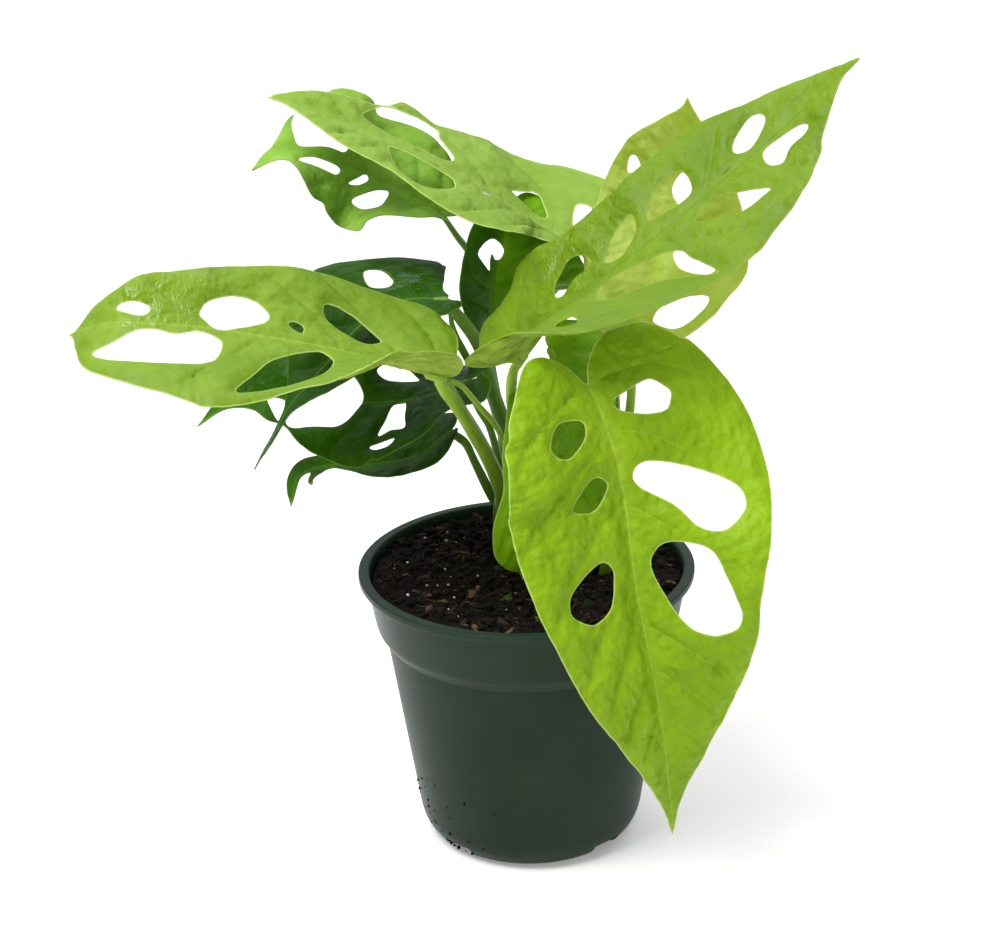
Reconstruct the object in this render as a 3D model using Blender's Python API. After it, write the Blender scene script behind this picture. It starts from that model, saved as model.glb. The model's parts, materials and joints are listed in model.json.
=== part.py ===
# A potted young climber with holed leaves: eleven blades on their petioles, soil, and a round nursery pot.
# Sizes are in millimetres until a mesh is made. The pot's axis is Z and its underside lies at z = 0.

import math
from collections import namedtuple

import bmesh
import bpy
import numpy as np
from mathutils import Vector, noise
from mathutils.geometry import delaunay_2d_cdt

MM = 0.001
FIT_GAP = 0.35
SMOOTH_ANGLE = math.radians(40)

# Pot
POT_HEIGHT = 98.0
POT_WALL = 1.3
POT_FLOOR = 2.0
FOOT_CURVE = [(31.0, 0.0), (33.4, 0.8), (35.6, 2.7), (37.3, 5.4), (38.4, 8.6)]
WALL_LOW = (39.0, 12.0)
WALL_HIGH = (48.2, 74.0)
SHOULDER = [(49.4, 75.6), (51.0, 78.0), (51.8, 80.5)]
BAND_TOP = (54.0, 94.0)
LIP_RADIUS = 57.0
LIP_THICK = 2.6
POT_SIDES = 72
DRAIN_COUNT = 4
DRAIN_TURN = 45.0
DRAIN_SIZE = (14.0, 12.0, 6.0)
DRAIN_RADIUS = 37.0

# Soil
SOIL_TOP = 93.5
SOIL_ROUGHNESS = 1.3
SOIL_GRAIN = 9.0
SOIL_RINGS = 9
SOIL_SPARE = 4.0

# Blades
BLADE_THICK = 0.8
PATTERN_STEP = 8.0
RIB_STEPS = 30
MARGIN_STEPS = 2
HOLE_POINTS = 11
SPARE_SHARE = 0.45
WIDEST = 1.6

# One half of a blade's margin, from the notch at its base round the basal lobe to its tip.
# Each point is (share of the blade's length, share of its half width).
MARGIN = [
    (0, 0), (-0.045, 0.06), (-0.085, 0.22), (-0.075, 0.48), (-0.02, 0.74), (0.09, 0.93), (0.24, 1.0),
    (0.42, 0.94), (0.60, 0.76), (0.76, 0.50), (0.89, 0.22), (0.96, 0.075), (1, 0),
]
WIDTH_STATIONS = (0, 0.33, 0.66, 1)

# Petioles
PETIOLE_SIDES = 8
PETIOLE_STEPS = 3
DOME_WIDTH = 0.6
DOME_HEIGHT = 0.5
PETIOLE_FOOT = 97.0
PETIOLE_RISE = 9.0
STEM_FOOT = 84.0
SOCKET_BELOW = 2.5
SOCKET_ABOVE = 9.0
MAIN_STEM_TOP = 112.0
SECOND_STEM_TOP = 103.0
MAIN_CROWN = (-2.0, 34.0)
SECOND_CROWN = (25.0, 5.0)

# rib: points along the midrib from base to tip.
# facing: (azimuth, elevation) of the upper face at the base, middle and tip, where azimuth 0 is -Y.
# fold: upward fold of each half at the base, middle and tip, in degrees.
# widths: scale of each half at the four width stations. lobes: scale of each basal lobe.
# half: half width.
# holes: (along, across, length, width, turn, taper, bend) of each hole, across > 0 on the right.
# Where a field holds a pair, the right half comes first, seen on the upper face with the tip ahead.
Blade = namedtuple("Blade", "name rib facing fold widths lobes half holes")


# Young lime blades


def leaf_front():
    return Blade(
        "leaf_front",
        rib=[(20, -53, 181), (24, -56, 173), (30, -60, 151), (34, -68, 119), (41, -75, 79), (45, -80, 39)],
        facing=[(16, 52), (23, 41), (43, 37)],
        fold=[(4, 18, 20), (2, 38, -1)],
        widths=[(0.91, 1.01, 1.01, 0.91), (1.11, 1.08, 1.01, 0.97)],
        lobes=(1.07, 0.85),
        half=42,
        holes=[
            (10, -14, 20, 9, -76, 0.3, 0),
            (39, -20, 36, 14, -60, 0.4, -1),
            (68, -19, 35, 20, -31, -0.1, 1),
            (12, 14, 14, 10, 80, 0.1, -1),
            (34, 11, 16, 8, 55, -0.2, 1),
            (64, 17, 21, 14, 60, 0.1, 2),
        ],
    )


def leaf_left():
    return Blade(
        "leaf_left",
        rib=[
            (-26, -22, 175), (-43, -23, 180), (-70, -29, 189),
            (-100, -36, 197), (-124, -39, 200), (-144, -22, 191),
        ],
        facing=[(-8, 72), (-10, 62), (-21, 53)],
        fold=[(-3, 1, 13), (53, 11, 4)],
        widths=[(1.0, 0.98, 0.87, 0.99), (0.89, 0.72, 1.55, 1.06)],
        lobes=(0.54, 0.36),
        half=38,
        holes=[
            (99, 5, 11, 5, 1, -0.1, 0),
            (67, 9, 23, 13, -21, 0.1, -2),
            (89, -11, 35, 16, -6, -0.2, 0),
            (47, 7, 5, 4, 18, -0.2, 0),
            (29, 13, 20, 10, 37, 0.0, 1),
            (52, -21, 36, 15, -36, -0.5, 2),
        ],
    )


def leaf_upper_left():
    return Blade(
        "leaf_upper_left",
        rib=[(22, 43, 195), (7, 53, 202), (-13, 53, 216), (-33, 51, 228), (-53, 49, 237), (-82, 46, 250)],
        facing=[(1, 84), (-1, 80), (0, 72)],
        fold=[(15, 1, 16), (27, 0, 11)],
        widths=[(1.05, 0.96, 1.01, 1.07), (0.8, 1.06, 0.95, 1.0)],
        lobes=(1.0, 0.3),
        half=35,
        holes=[
            (72, 14, 32, 20, 1, -0.2, -3),
            (67, -14, 25, 17, 9, 0.1, 5),
            (24, 9, 13, 7, 37, 0.6, -1),
            (13, 14, 10, 3.5, 80, 0.6, 0),
        ],
    )


def leaf_upper_right():
    return Blade(
        "leaf_upper_right",
        rib=[(-2, -4, 172), (13, -11, 192), (38, -16, 213), (63, -10, 232), (89, -4, 253), (106, -8, 271)],
        facing=[(-23, 57), (-16, 65), (-13, 64)],
        fold=[(56, 12, 1), (-2, -1, -2)],
        widths=[(1.1, 0.91, 1.14, 1.02), (0.86, 0.68, 0.93, 0.98)],
        lobes=(0.6, 1.25),
        half=43,
        holes=[
            (110, -8, 15, 8, -22, -0.1, -1),
            (116, 6, 19, 8, 2, -0.4, 1),
            (77, -11, 19, 11, -14, 0.5, 0),
            (89, 11, 25, 10, 37, -0.4, -1),
            (62, 18, 38, 15, 42, -0.8, 6),
            (32, -12, 16, 9, -21, 0.2, 4),
            (55, -11, 19, 10, -35, -0.1, 0),
            (37, 33, 14, 7, 87, 0.5, 1),
        ],
    )


def leaf_back_right():
    return Blade(
        "leaf_back_right",
        rib=[(37, 23, 171), (44, 29, 185), (51, 36, 207), (55, 31, 232), (55, 18, 253)],
        facing=[(-13, 44), (-13, 41), (-9, 37)],
        fold=[(28, 3, 13), (8, 4, 7)],
        widths=[(0.95, 1.19, 1.01, 0.99), (0.7, 1.0, 1.2, 1.02)],
        lobes=(1.0, 0.4),
        half=27,
        holes=[
            (57, -17, 6, 4, 20, 0.3, 0),
            (12, 15, 21, 11, 55, -0.2, -2),
            (53, 1, 12, 7, 0, 0.3, 0),
            (29, 12, 17, 8, -87, 0.2, 0),
        ],
    )


# Older blades, darker and smaller


def leaf_dark_upper_left():
    return Blade(
        "leaf_dark_upper_left",
        rib=[(-27, 58, 205), (-37, 59, 212), (-51, 62, 218), (-64, 56, 226), (-77, 53, 230), (-91, 52, 224)],
        facing=[(2, 68), (-2, 36), (-9, 77)],
        fold=[(10, 8, -3), (38, -2, 29)],
        widths=[(1.04, 0.88, 1.57, 0.97), (0.97, 1.03, 1.09, 0.98)],
        lobes=(1.0, 1.0),
        half=23,
        holes=[
            (47, 11, 21, 15, 10, 0.3, -1),
            (47, -3, 15, 4, -1, -0.1, -1),
            (24, -11, 16, 8, -24, -0.6, 2),
        ],
    )


def leaf_dark_left():
    return Blade(
        "leaf_dark_left",
        rib=[
            (-25, 28, 184), (-39, 27, 184), (-52, 18, 180), (-64, 6, 170),
            (-76, -5, 159), (-83, -8, 149), (-89, -11, 139),
        ],
        facing=[(-3, 82), (-24, 50), (-78, 31)],
        fold=[(-1, 22, -21), (7, 20, 13)],
        widths=[(1.01, 1.14, 0.4, 0.93), (0.7, 1.07, 0.91, 0.99)],
        lobes=(0.6, 0.6),
        half=25,
        holes=[(16, 15, 11, 6, -85, 0.2, 0)],
    )


def leaf_dark_lower_left():
    return Blade(
        "leaf_dark_lower_left",
        rib=[(-19, 22, 157), (-35, 25, 150), (-54, 28, 147), (-76, 26, 149), (-96, 19, 152), (-111, 20, 143)],
        facing=[(-1, 73), (-1, 62), (-2, 72)],
        fold=[(-22, 18, 8), (10, -6, 19)],
        widths=[(0.6, 1.02, 1.13, 1.0), (1.01, 1.06, 1.06, 0.99)],
        lobes=(0.4, 1.12),
        half=25,
        holes=[
            (52, -4, 35, 14, -35, -0.4, 2),
            (70, -5, 12, 5, -64, -0.5, -2),
            (27, 14, 13, 8, 19, 0.2, -1),
            (25, -8, 15, 9, -78, 0.5, 1),
            (29, -20.5, 9, 2.5, -1, 0.0, 1),
        ],
    )


def leaf_dark_lowest():
    return Blade(
        "leaf_dark_lowest",
        rib=[(-25, 29, 136), (-39, 31, 130), (-55, 32, 128), (-69, 28, 128), (-78, 23, 124), (-81, 19, 114)],
        facing=[(-6, 75), (-14, 60), (-27, 58)],
        fold=[(-7, 15, 8), (5, 21, 44)],
        widths=[(0.96, 1.06, 1.0, 1.0), (1.0, 1.02, 0.97, 0.99)],
        lobes=(1.0, 1.0),
        half=18,
        holes=[],
    )


def leaf_dark_centre():
    return Blade(
        "leaf_dark_centre",
        rib=[(-9, 54, 159), (-10, 52, 176), (-8, 51, 190), (-6, 53, 198), (-2, 68, 207)],
        facing=[(49, 34), (24, 26), (7, 24)],
        fold=[(9, 15, 17), (27, 20, 15)],
        widths=[(0.98, 0.98, 1.02, 1.02), (0.98, 0.98, 1.05, 1.03)],
        lobes=(1.0, 1.0),
        half=16,
        holes=[(33, -2, 11, 8, -15, 0.4, 0)],
    )


def leaf_green_hanging():
    return Blade(
        "leaf_green_hanging",
        rib=[(10, 25, 166), (13, 15, 163), (16, 2, 155), (16, -12, 141), (11, -19, 119), (7, -13, 96)],
        facing=[(23, 30), (37, 24), (17, 25)],
        fold=[(6, 14, 6), (2, 4, 4)],
        widths=[(0.1, 0.8, 1.44, 1.08), (0.59, 0.4, 0.66, 0.93)],
        lobes=(0.1, 0.4),
        half=31,
        holes=[(40, 1, 4, 4, 0, 0.0, 0)],
    )


# Petioles
# Each is (name, crown, angle round it, distance from it, radii at soil and blade, points to the blade).


def petiole_paths():
    return [
        ("petiole_left", MAIN_CROWN, 226, 7.5, (3.0, 2.3),
         [(-8, 19, 118), (-12, 10, 133), (-17, 1, 147), (-22, -8, 160), (-26, -19, 171)]),
        ("petiole_sheath", MAIN_CROWN, 262, 9.5, (1.3, 1.0),
         [(-3, 14, 124), (-6, 4, 139), (-9, -2, 149), (-14, -8, 158), (-20, -12, 168)]),
        ("petiole_upper_right", MAIN_CROWN, 300, 8.5, (2.3, 1.9),
         [(1, 20, 117), (-2, 13, 138), (-4, 5, 154), (-3, -1, 167)]),
        ("petiole_dark_left", MAIN_CROWN, 122, 7.5, (2.6, 1.8),
         [(-6, 37, 129), (-8, 37, 138), (-11, 36, 149), (-13, 35, 159), (-17, 32, 170), (-24, 29, 181)]),
        ("petiole_dark_lower_left", MAIN_CROWN, 186, 7.5, (1.7, 1.4),
         [(-8, 28, 118), (-11, 26, 136), (-15, 25, 145), (-18, 23, 154)]),
        ("petiole_dark_lowest", MAIN_CROWN, 158, 7.5, (1.4, 1.1),
         [(-11, 36, 107), (-17, 33, 122), (-20, 31, 130), (-24, 30, 134)]),
        ("petiole_dark_upper_left", MAIN_CROWN, 86, 7.5, (1.6, 1.2),
         [(-8, 56, 129), (-12, 64, 153), (-14, 67, 174), (-17, 65, 187), (-22, 62, 196), (-26, 60, 203)]),
        ("petiole_dark_centre", MAIN_CROWN, 56, 7.5, (1.6, 1.2),
         [(-5, 46, 125), (-9, 52, 142), (-11, 56, 155)]),
        ("petiole_green_hanging", MAIN_CROWN, 20, 7.5, (1.7, 1.4),
         [(8, 33, 112), (12, 36, 137), (12, 34, 155), (10, 28, 164)]),
        ("petiole_front", SECOND_CROWN, 290, 6.5, (2.0, 1.6),
         [(29, -8, 113), (29, -22, 137), (26, -36, 160), (23, -44, 171), (20, -50, 178)]),
        ("petiole_back_right", SECOND_CROWN, 20, 6.5, (2.0, 1.6),
         [(32, 12, 114), (35, 20, 134), (37, 24, 150), (37, 25, 167)]),
        ("petiole_upper_left", SECOND_CROWN, 110, 6.5, (1.5, 1.1),
         [(29, 18, 117), (32, 26, 140), (32, 33, 150), (31, 40, 164), (27, 45, 179), (23, 44, 191)]),
    ]


# Curves and surfaces


def smooth_line(points, steps):
    """A smooth line through the points, with this many steps between each two."""
    p = np.asarray(points, float)
    p = np.vstack([2 * p[0] - p[1], p, 2 * p[-1] - p[-2]])
    a, b, c, d = (p[i : len(p) - 3 + i][:, None] for i in range(4))
    u = np.linspace(0, 1, steps, endpoint=False)[None, :, None]
    line = b + 0.5 * ((c - a) * u + (2 * a - 5 * b + 4 * c - d) * u**2 + (3 * b - a - 3 * c + d) * u**3)
    return np.vstack([line.reshape(-1, p.shape[1]), p[-2]])


def unit(vectors):
    return vectors / np.linalg.norm(vectors, axis=-1, keepdims=True)


def distances_along(line):
    return np.r_[0, np.cumsum(np.linalg.norm(np.diff(line, axis=0), axis=1))]


def eased(values, share):
    """The values at equal stations, with a soft change from each to the next."""
    values = np.asarray(values, float)
    place = np.clip(share, 0, 1) * (len(values) - 1)
    lower = np.clip(place.astype(int), 0, len(values) - 2)
    u = place - lower
    return values[lower] + (values[lower + 1] - values[lower]) * u * u * (3 - 2 * u)


def facing_vectors(angles):
    azimuth, elevation = np.radians(np.asarray(angles, float)).T
    return np.stack(
        [np.cos(elevation) * np.sin(azimuth), -np.cos(elevation) * np.cos(azimuth), np.sin(elevation)], -1
    )


class BladeSurface:
    """The middle surface of a blade: maps (along, across) in millimetres to a point."""

    def __init__(self, blade):
        self.blade = blade
        self.line = smooth_line(blade.rib, RIB_STEPS)
        self.at = distances_along(self.line)
        self.length = self.at[-1]
        self.tangent = unit(np.gradient(self.line, self.at, axis=0))
        facing = facing_vectors(blade.facing)
        stations = np.linspace(0, self.length, len(facing))
        up = np.stack([np.interp(self.at, stations, facing[:, i]) for i in range(3)], -1)
        self.up = unit(up - (up * self.tangent).sum(1)[:, None] * self.tangent)
        self.right = np.cross(self.tangent, self.up)

    def table(self, values, along):
        return np.stack([np.interp(along, self.at, values[:, i]) for i in range(3)], -1)

    def points(self, pattern):
        along, across = np.asarray(pattern, float).T
        inside = np.clip(along, 0, self.length)
        rib = self.table(self.line, inside) + (along - inside)[:, None] * self.table(self.tangent, inside)
        share = along / self.length
        right_fold, left_fold = (eased(fold, share) for fold in self.blade.fold)
        fold = np.radians(np.where(across > 0, right_fold, left_fold))
        side = across * np.cos(fold)
        rise = np.abs(across) * np.sin(fold)
        sideways = side[:, None] * self.table(self.right, inside)
        return rib + sideways + rise[:, None] * self.table(self.up, inside)


def half_margin(blade, length, side):
    """The margin of the right half (side 0) or the left half (side 1), from base to tip."""
    sign = (1, -1)[side]
    margin = np.array(MARGIN, float)
    behind = margin[:, 0] < 0
    margin[behind, 0] *= blade.lobes[side]
    margin[:, 1] *= np.interp(margin[:, 0], WIDTH_STATIONS, blade.widths[side])
    return smooth_line(margin, MARGIN_STEPS) * (length, sign * blade.half)


def hole_outline(hole):
    """A closed egg shape on the pattern."""
    along, across, length, width, turn, taper, bend = hole
    theta = np.linspace(0, 2 * math.pi, HOLE_POINTS, endpoint=False)
    u = length / 2 * np.cos(theta)
    v = width / 2 * np.sin(theta) * (1 + taper * np.cos(theta)) + bend * np.cos(theta) ** 2
    c, s = math.cos(math.radians(turn)), math.sin(math.radians(turn))
    return np.stack([along + c * u - s * v, across + s * u + c * v], -1)


def inside_loop(points, loop):
    """Which points lie inside the closed loop."""
    x, y = points.T
    found = np.zeros(len(points), bool)
    for (x0, y0), (x1, y1) in zip(loop, np.roll(loop, -1, axis=0)):
        crosses = (y0 > y) != (y1 > y)
        reach = x0 + (y - y0) * (x1 - x0) / np.where(y1 == y0, 1e-9, y1 - y0)
        found ^= crosses & (x < reach)
    return found


def distance_to_loop(points, loop):
    start, end = loop, np.roll(loop, -1, axis=0)
    run = end - start
    share = ((points[:, None] - start) * run).sum(-1) / (run**2).sum(-1)
    nearest = start + np.clip(share, 0, 1)[..., None] * run
    return np.linalg.norm(points[:, None] - nearest, axis=-1).min(1)


def inner_points(blade, length):
    """Staggered rows of points over the blade, and a row of them along the midrib."""
    reach = WIDEST * blade.half
    grid = []
    for row, along in enumerate(np.arange(0, length, PATTERN_STEP * math.sqrt(3) / 2)):
        shift = PATTERN_STEP / 2 * (row % 2)
        grid += [(along, across + shift) for across in np.arange(-reach, reach, PATTERN_STEP)]
    grid += [(along, 0.0) for along in np.arange(PATTERN_STEP, length - PATTERN_STEP / 2, PATTERN_STEP)]
    return np.array(grid)


def blade_pattern(blade, length):
    """The flat pattern of a blade: points, and triangles that leave the holes open."""
    right, left = half_margin(blade, length, 0), half_margin(blade, length, 1)
    outline = np.vstack([right[:-1], left[:0:-1]])
    holes = [hole_outline(hole) for hole in blade.holes]
    grid = inner_points(blade, length)
    spare = PATTERN_STEP * SPARE_SHARE
    keep = inside_loop(grid, outline) & (distance_to_loop(grid, outline) > spare)
    keep &= (grid[:, 1] == 0) | (np.abs(grid[:, 1]) > spare)
    for loop in holes:
        keep &= ~inside_loop(grid, loop) & (distance_to_loop(grid, loop) > spare)
    points, edges = [], []
    for loop in [outline] + holes:
        first = len(points)
        points += [tuple(p) for p in loop]
        edges += [(first + i, first + (i + 1) % len(loop)) for i in range(len(loop))]
    points += [tuple(p) for p in grid[keep]]
    made = delaunay_2d_cdt([Vector(p) for p in points], edges, [], 0, 1e-6)
    flat = np.array([tuple(p) for p in made[0]])
    faces = np.array([face for face in made[2] if len(face) == 3])
    middle = flat[faces].mean(1)
    keep = inside_loop(middle, outline)
    for loop in holes:
        keep &= ~inside_loop(middle, loop)
    return flat, faces[keep]


def surface_normals(points, faces):
    corner = points[faces]
    cross = np.cross(corner[:, 1] - corner[:, 0], corner[:, 2] - corner[:, 0])
    normals = np.zeros_like(points)
    for i in range(3):
        np.add.at(normals, faces[:, i], cross)
    return unit(normals)


# Meshes


def new_object(name, points, faces, material):
    mesh = bpy.data.meshes.new(name)
    verts = [tuple(float(c) * MM for c in p) for p in points]
    mesh.from_pydata(verts, [], [tuple(int(i) for i in f) for f in faces])
    mesh.update()
    obj = bpy.data.objects.new(name, mesh)
    bpy.context.scene.collection.objects.link(obj)
    mesh.materials.append(material)
    mesh.shade_smooth()
    mesh.set_sharp_from_angle(angle=SMOOTH_ANGLE)
    return obj


def face_outward(obj):
    work = bmesh.new()
    work.from_mesh(obj.data)
    bmesh.ops.recalc_face_normals(work, faces=work.faces)
    work.to_mesh(obj.data)
    work.free()


def build_blade(blade, material):
    surface = BladeSurface(blade)
    flat, faces = blade_pattern(blade, surface.length)
    used = np.unique(faces)
    index = np.full(len(flat), -1)
    index[used] = np.arange(len(used))
    flat, faces = flat[used], index[faces]
    middle = surface.points(flat)
    normals = surface_normals(middle, faces)
    count = len(middle)
    upper = middle + normals * BLADE_THICK / 2
    lower = middle - normals * BLADE_THICK / 2
    edges = {}
    for face in faces:
        for i in range(3):
            pair = (face[i], face[(i + 1) % 3])
            edges[pair] = edges.get(pair, 0) + 1
    rim = [pair for pair in edges if (pair[1], pair[0]) not in edges]
    shell = [tuple(f) for f in faces] + [tuple(f[::-1] + count) for f in faces]
    shell += [(b, a, a + count, b + count) for a, b in rim]
    obj = new_object(blade.name, np.vstack([upper, lower]), shell, material)
    face_outward(obj)
    return obj


def build_tube(name, points, radii, material, steps=PETIOLE_STEPS, sides=PETIOLE_SIDES):
    """A round stalk along a smooth line, tapering from the first radius to the second, with domed ends."""
    line = smooth_line(points, steps)
    at = distances_along(line)
    share = at / at[-1]
    radius = radii[0] + (radii[1] - radii[0]) * share
    tangent = unit(np.gradient(line, at, axis=0))
    side = unit(np.cross(tangent[0], (0.0, 1.0, 0.0)))
    rings = []
    for i, centre in enumerate(line):
        side = unit(side - tangent[i] * (side @ tangent[i]))
        other = np.cross(tangent[i], side)
        rings.append((centre, radius[i], side, other))
    first, last = rings[0], rings[-1]
    low = first[0] - tangent[0] * first[1] * DOME_HEIGHT
    high = last[0] + tangent[-1] * last[1] * DOME_HEIGHT
    rings.insert(0, (low, first[1] * DOME_WIDTH, first[2], first[3]))
    rings.append((high, last[1] * DOME_WIDTH, last[2], last[3]))
    angles = [2 * math.pi * i / sides for i in range(sides)]
    verts = [c + r * (math.cos(a) * u + math.sin(a) * v) for c, r, u, v in rings for a in angles]
    faces = []
    for k in range(len(rings) - 1):
        for i in range(sides):
            j = (i + 1) % sides
            faces.append((k * sides + i, k * sides + j, (k + 1) * sides + j, (k + 1) * sides + i))
    faces.append(tuple(range(sides))[::-1])
    faces.append(tuple(range((len(rings) - 1) * sides, len(rings) * sides)))
    obj = new_object(name, verts, faces, material)
    face_outward(obj)
    return obj


def build_lathe(name, profile, sides, material):
    """A solid of revolution from a closed profile of (radius, height)."""
    verts, rows = [], []
    for radius, height in profile:
        if radius == 0:
            rows.append([len(verts)] * sides)
            verts.append((0.0, 0.0, height))
            continue
        rows.append(list(range(len(verts), len(verts) + sides)))
        verts += [
            (radius * math.cos(2 * math.pi * i / sides), radius * math.sin(2 * math.pi * i / sides), height)
            for i in range(sides)
        ]
    faces = []
    for row, following in zip(rows, rows[1:]):
        for i in range(sides):
            j = (i + 1) % sides
            corners = []
            for corner in (row[i], row[j], following[j], following[i]):
                if corner not in corners:
                    corners.append(corner)
            faces.append(tuple(corners))
    obj = new_object(name, verts, faces, material)
    face_outward(obj)
    return obj


# Pot and soil


def pot_inside():
    """The inner profile, from the floor to just under the lip."""
    floor = [(FOOT_CURVE[1][0], POT_FLOOR), (FOOT_CURVE[3][0] - POT_WALL, FOOT_CURVE[3][1] + 0.8)]
    wall = [WALL_LOW, WALL_HIGH] + SHOULDER + [BAND_TOP]
    return floor + [(radius - POT_WALL, height) for radius, height in wall]


def pot_profile():
    outside = [(0, 0)] + FOOT_CURVE + [WALL_LOW, WALL_HIGH] + SHOULDER + [BAND_TOP]
    lip_low = POT_HEIGHT - LIP_THICK
    lip = [
        (LIP_RADIUS - 0.7, lip_low), (LIP_RADIUS, lip_low + 0.7), (LIP_RADIUS, POT_HEIGHT - 0.6),
        (LIP_RADIUS - 0.6, POT_HEIGHT), (BAND_TOP[0], POT_HEIGHT), (BAND_TOP[0] - 0.8, POT_HEIGHT - 0.5),
    ]
    return outside + lip + pot_inside()[::-1] + [(0, POT_FLOOR)]


def drain_cutter(index):
    """A block that notches the pot's bottom corner."""
    turn = math.radians(DRAIN_TURN + 360 * index / DRAIN_COUNT)
    radial, width, height = (size / 2 for size in DRAIN_SIZE)
    verts = []
    c, s = math.cos(turn), math.sin(turn)
    for z in (-1.0, 2 * height - 1.0):
        for x, y in ((-radial, -width), (radial, -width), (radial, width), (-radial, width)):
            out = DRAIN_RADIUS + x
            verts.append((out * c - y * s, out * s + y * c, z))
    faces = [(3, 2, 1, 0), (4, 5, 6, 7), (0, 1, 5, 4), (1, 2, 6, 5), (2, 3, 7, 6), (3, 0, 4, 7)]
    cutter = new_object(f"cutter_drain_{index}", verts, faces, pot_green())
    face_outward(cutter)
    return cutter


def cut(obj, cutter):
    cutter.hide_render = True
    cutter.display_type = "WIRE"
    modifier = obj.modifiers.new(cutter.name, "BOOLEAN")
    modifier.operation = "DIFFERENCE"
    modifier.solver = "EXACT"
    modifier.object = cutter


def build_pot(material):
    pot = build_lathe("pot", pot_profile(), POT_SIDES, material)
    for index in range(DRAIN_COUNT):
        cut(pot, drain_cutter(index))
    return pot


def soil_height(x, y):
    rough = noise.noise(Vector((x / SOIL_GRAIN, y / SOIL_GRAIN, 0.0)))
    fine = noise.noise(Vector((x * 2.3 / SOIL_GRAIN, y * 2.3 / SOIL_GRAIN, 4.0)))
    return SOIL_TOP + SOIL_ROUGHNESS * (rough + 0.5 * fine)


def build_soil(material):
    """The root ball: it follows the inside of the pot and has an uneven top."""
    sides = POT_SIDES // 2
    below = [(radius, height) for radius, height in pot_inside() if height < SOIL_TOP - SOIL_SPARE]
    low, high = pot_inside()[-2], pot_inside()[-1]
    share = (SOIL_TOP - low[1]) / (high[1] - low[1])
    edge = low[0] + (high[0] - low[0]) * share
    fit = math.cos(math.pi / sides)
    wall = [(0, POT_FLOOR + FIT_GAP)] + [((r - FIT_GAP), h + FIT_GAP) for r, h in below]
    widest = edge - 2 * FIT_GAP
    top = [(widest * (1 - k / SOIL_RINGS), SOIL_TOP) for k in range(SOIL_RINGS)] + [(0, SOIL_TOP)]
    profile = [(r * fit, h) for r, h in wall + top]
    soil = build_lathe("soil", profile, sides, material)
    for vertex in soil.data.vertices:
        x, y, z = vertex.co / MM
        if abs(z - SOIL_TOP) < 0.01:
            vertex.co.z = soil_height(x, y) * MM
    return soil


def petiole_foot(crown, angle, distance):
    """The point beside its crown's stem where a petiole begins."""
    turn = math.radians(angle)
    return (crown[0] + distance * math.cos(turn), crown[1] + distance * math.sin(turn), PETIOLE_FOOT)


def build_stem(name, crown, height, radii, soil, material):
    """A short upright stem that stands in a socket in the soil."""
    x, y = crown
    build_tube(name, [(x, y, STEM_FOOT), (x, y, (STEM_FOOT + height) / 2), (x, y, height)], radii, material)
    fat = radii[0] + FIT_GAP
    socket = [(x, y, STEM_FOOT - SOCKET_BELOW), (x, y, STEM_FOOT), (x, y, SOIL_TOP + SOCKET_ABOVE)]
    cut(soil, build_tube("cutter_" + name, socket, (fat, fat), material, steps=1, sides=10))


def build_stalks(soil, pale, dark):
    """Both crown stems, and a petiole for each blade."""
    build_stem("main_stem", MAIN_CROWN, MAIN_STEM_TOP, (4.0, 3.4), soil, dark)
    build_stem("second_stem", SECOND_CROWN, SECOND_STEM_TOP, (3.4, 3.0), soil, dark)
    for name, crown, angle, distance, radii, points in petiole_paths():
        foot = petiole_foot(crown, angle, distance)
        rise = (foot[0], foot[1], foot[2] + PETIOLE_RISE)
        build_tube(name, [foot, rise] + points, radii, dark if "dark" in name else pale)


# Materials


def plain_material(name, colour, roughness):
    material = bpy.data.materials.new(name)
    material.use_nodes = True
    shader = material.node_tree.nodes["Principled BSDF"]
    shader.inputs["Base Color"].default_value = (*colour, 1.0)
    shader.inputs["Roughness"].default_value = roughness
    material.diffuse_color = (*colour, 1.0)
    return material


def leaf_lime():
    return plain_material("leaf_lime", (0.29, 0.47, 0.03), 0.4)


def leaf_dark():
    return plain_material("leaf_dark", (0.035, 0.13, 0.012), 0.35)


def leaf_green():
    return plain_material("leaf_green", (0.10, 0.27, 0.02), 0.4)


def petiole_pale():
    return plain_material("petiole_pale", (0.33, 0.47, 0.13), 0.45)


def petiole_dark():
    return plain_material("petiole_dark", (0.08, 0.2, 0.04), 0.45)


def pot_green():
    return plain_material("pot_green", (0.035, 0.055, 0.045), 0.35)


def soil_brown():
    return plain_material("soil_brown", (0.025, 0.017, 0.012), 0.95)


def build():
    for obj in list(bpy.data.objects):
        bpy.data.objects.remove(obj, do_unlink=True)
    lime, dark = leaf_lime(), leaf_dark()
    build_pot(pot_green())
    soil = build_soil(soil_brown())
    build_stalks(soil, petiole_pale(), petiole_dark())
    for blade in (leaf_front, leaf_left, leaf_upper_left, leaf_upper_right, leaf_back_right):
        build_blade(blade(), lime)
    for blade in (leaf_dark_upper_left, leaf_dark_left, leaf_dark_lower_left):
        build_blade(blade(), dark)
    for blade in (leaf_dark_lowest, leaf_dark_centre):
        build_blade(blade(), dark)
    build_blade(leaf_green_hanging(), leaf_green())


build()
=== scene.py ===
# The looks of a potted young climber with holed leaves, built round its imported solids.
# Sizes are in millimetres until a mesh is made. The pot's axis is Z and its underside lies at z = 0.

import json
import math
from collections import namedtuple

import bmesh
import bpy
import numpy as np
from mathutils import Matrix, Vector, noise
from mathutils.geometry import delaunay_2d_cdt
from mathutils.kdtree import KDTree

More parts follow.
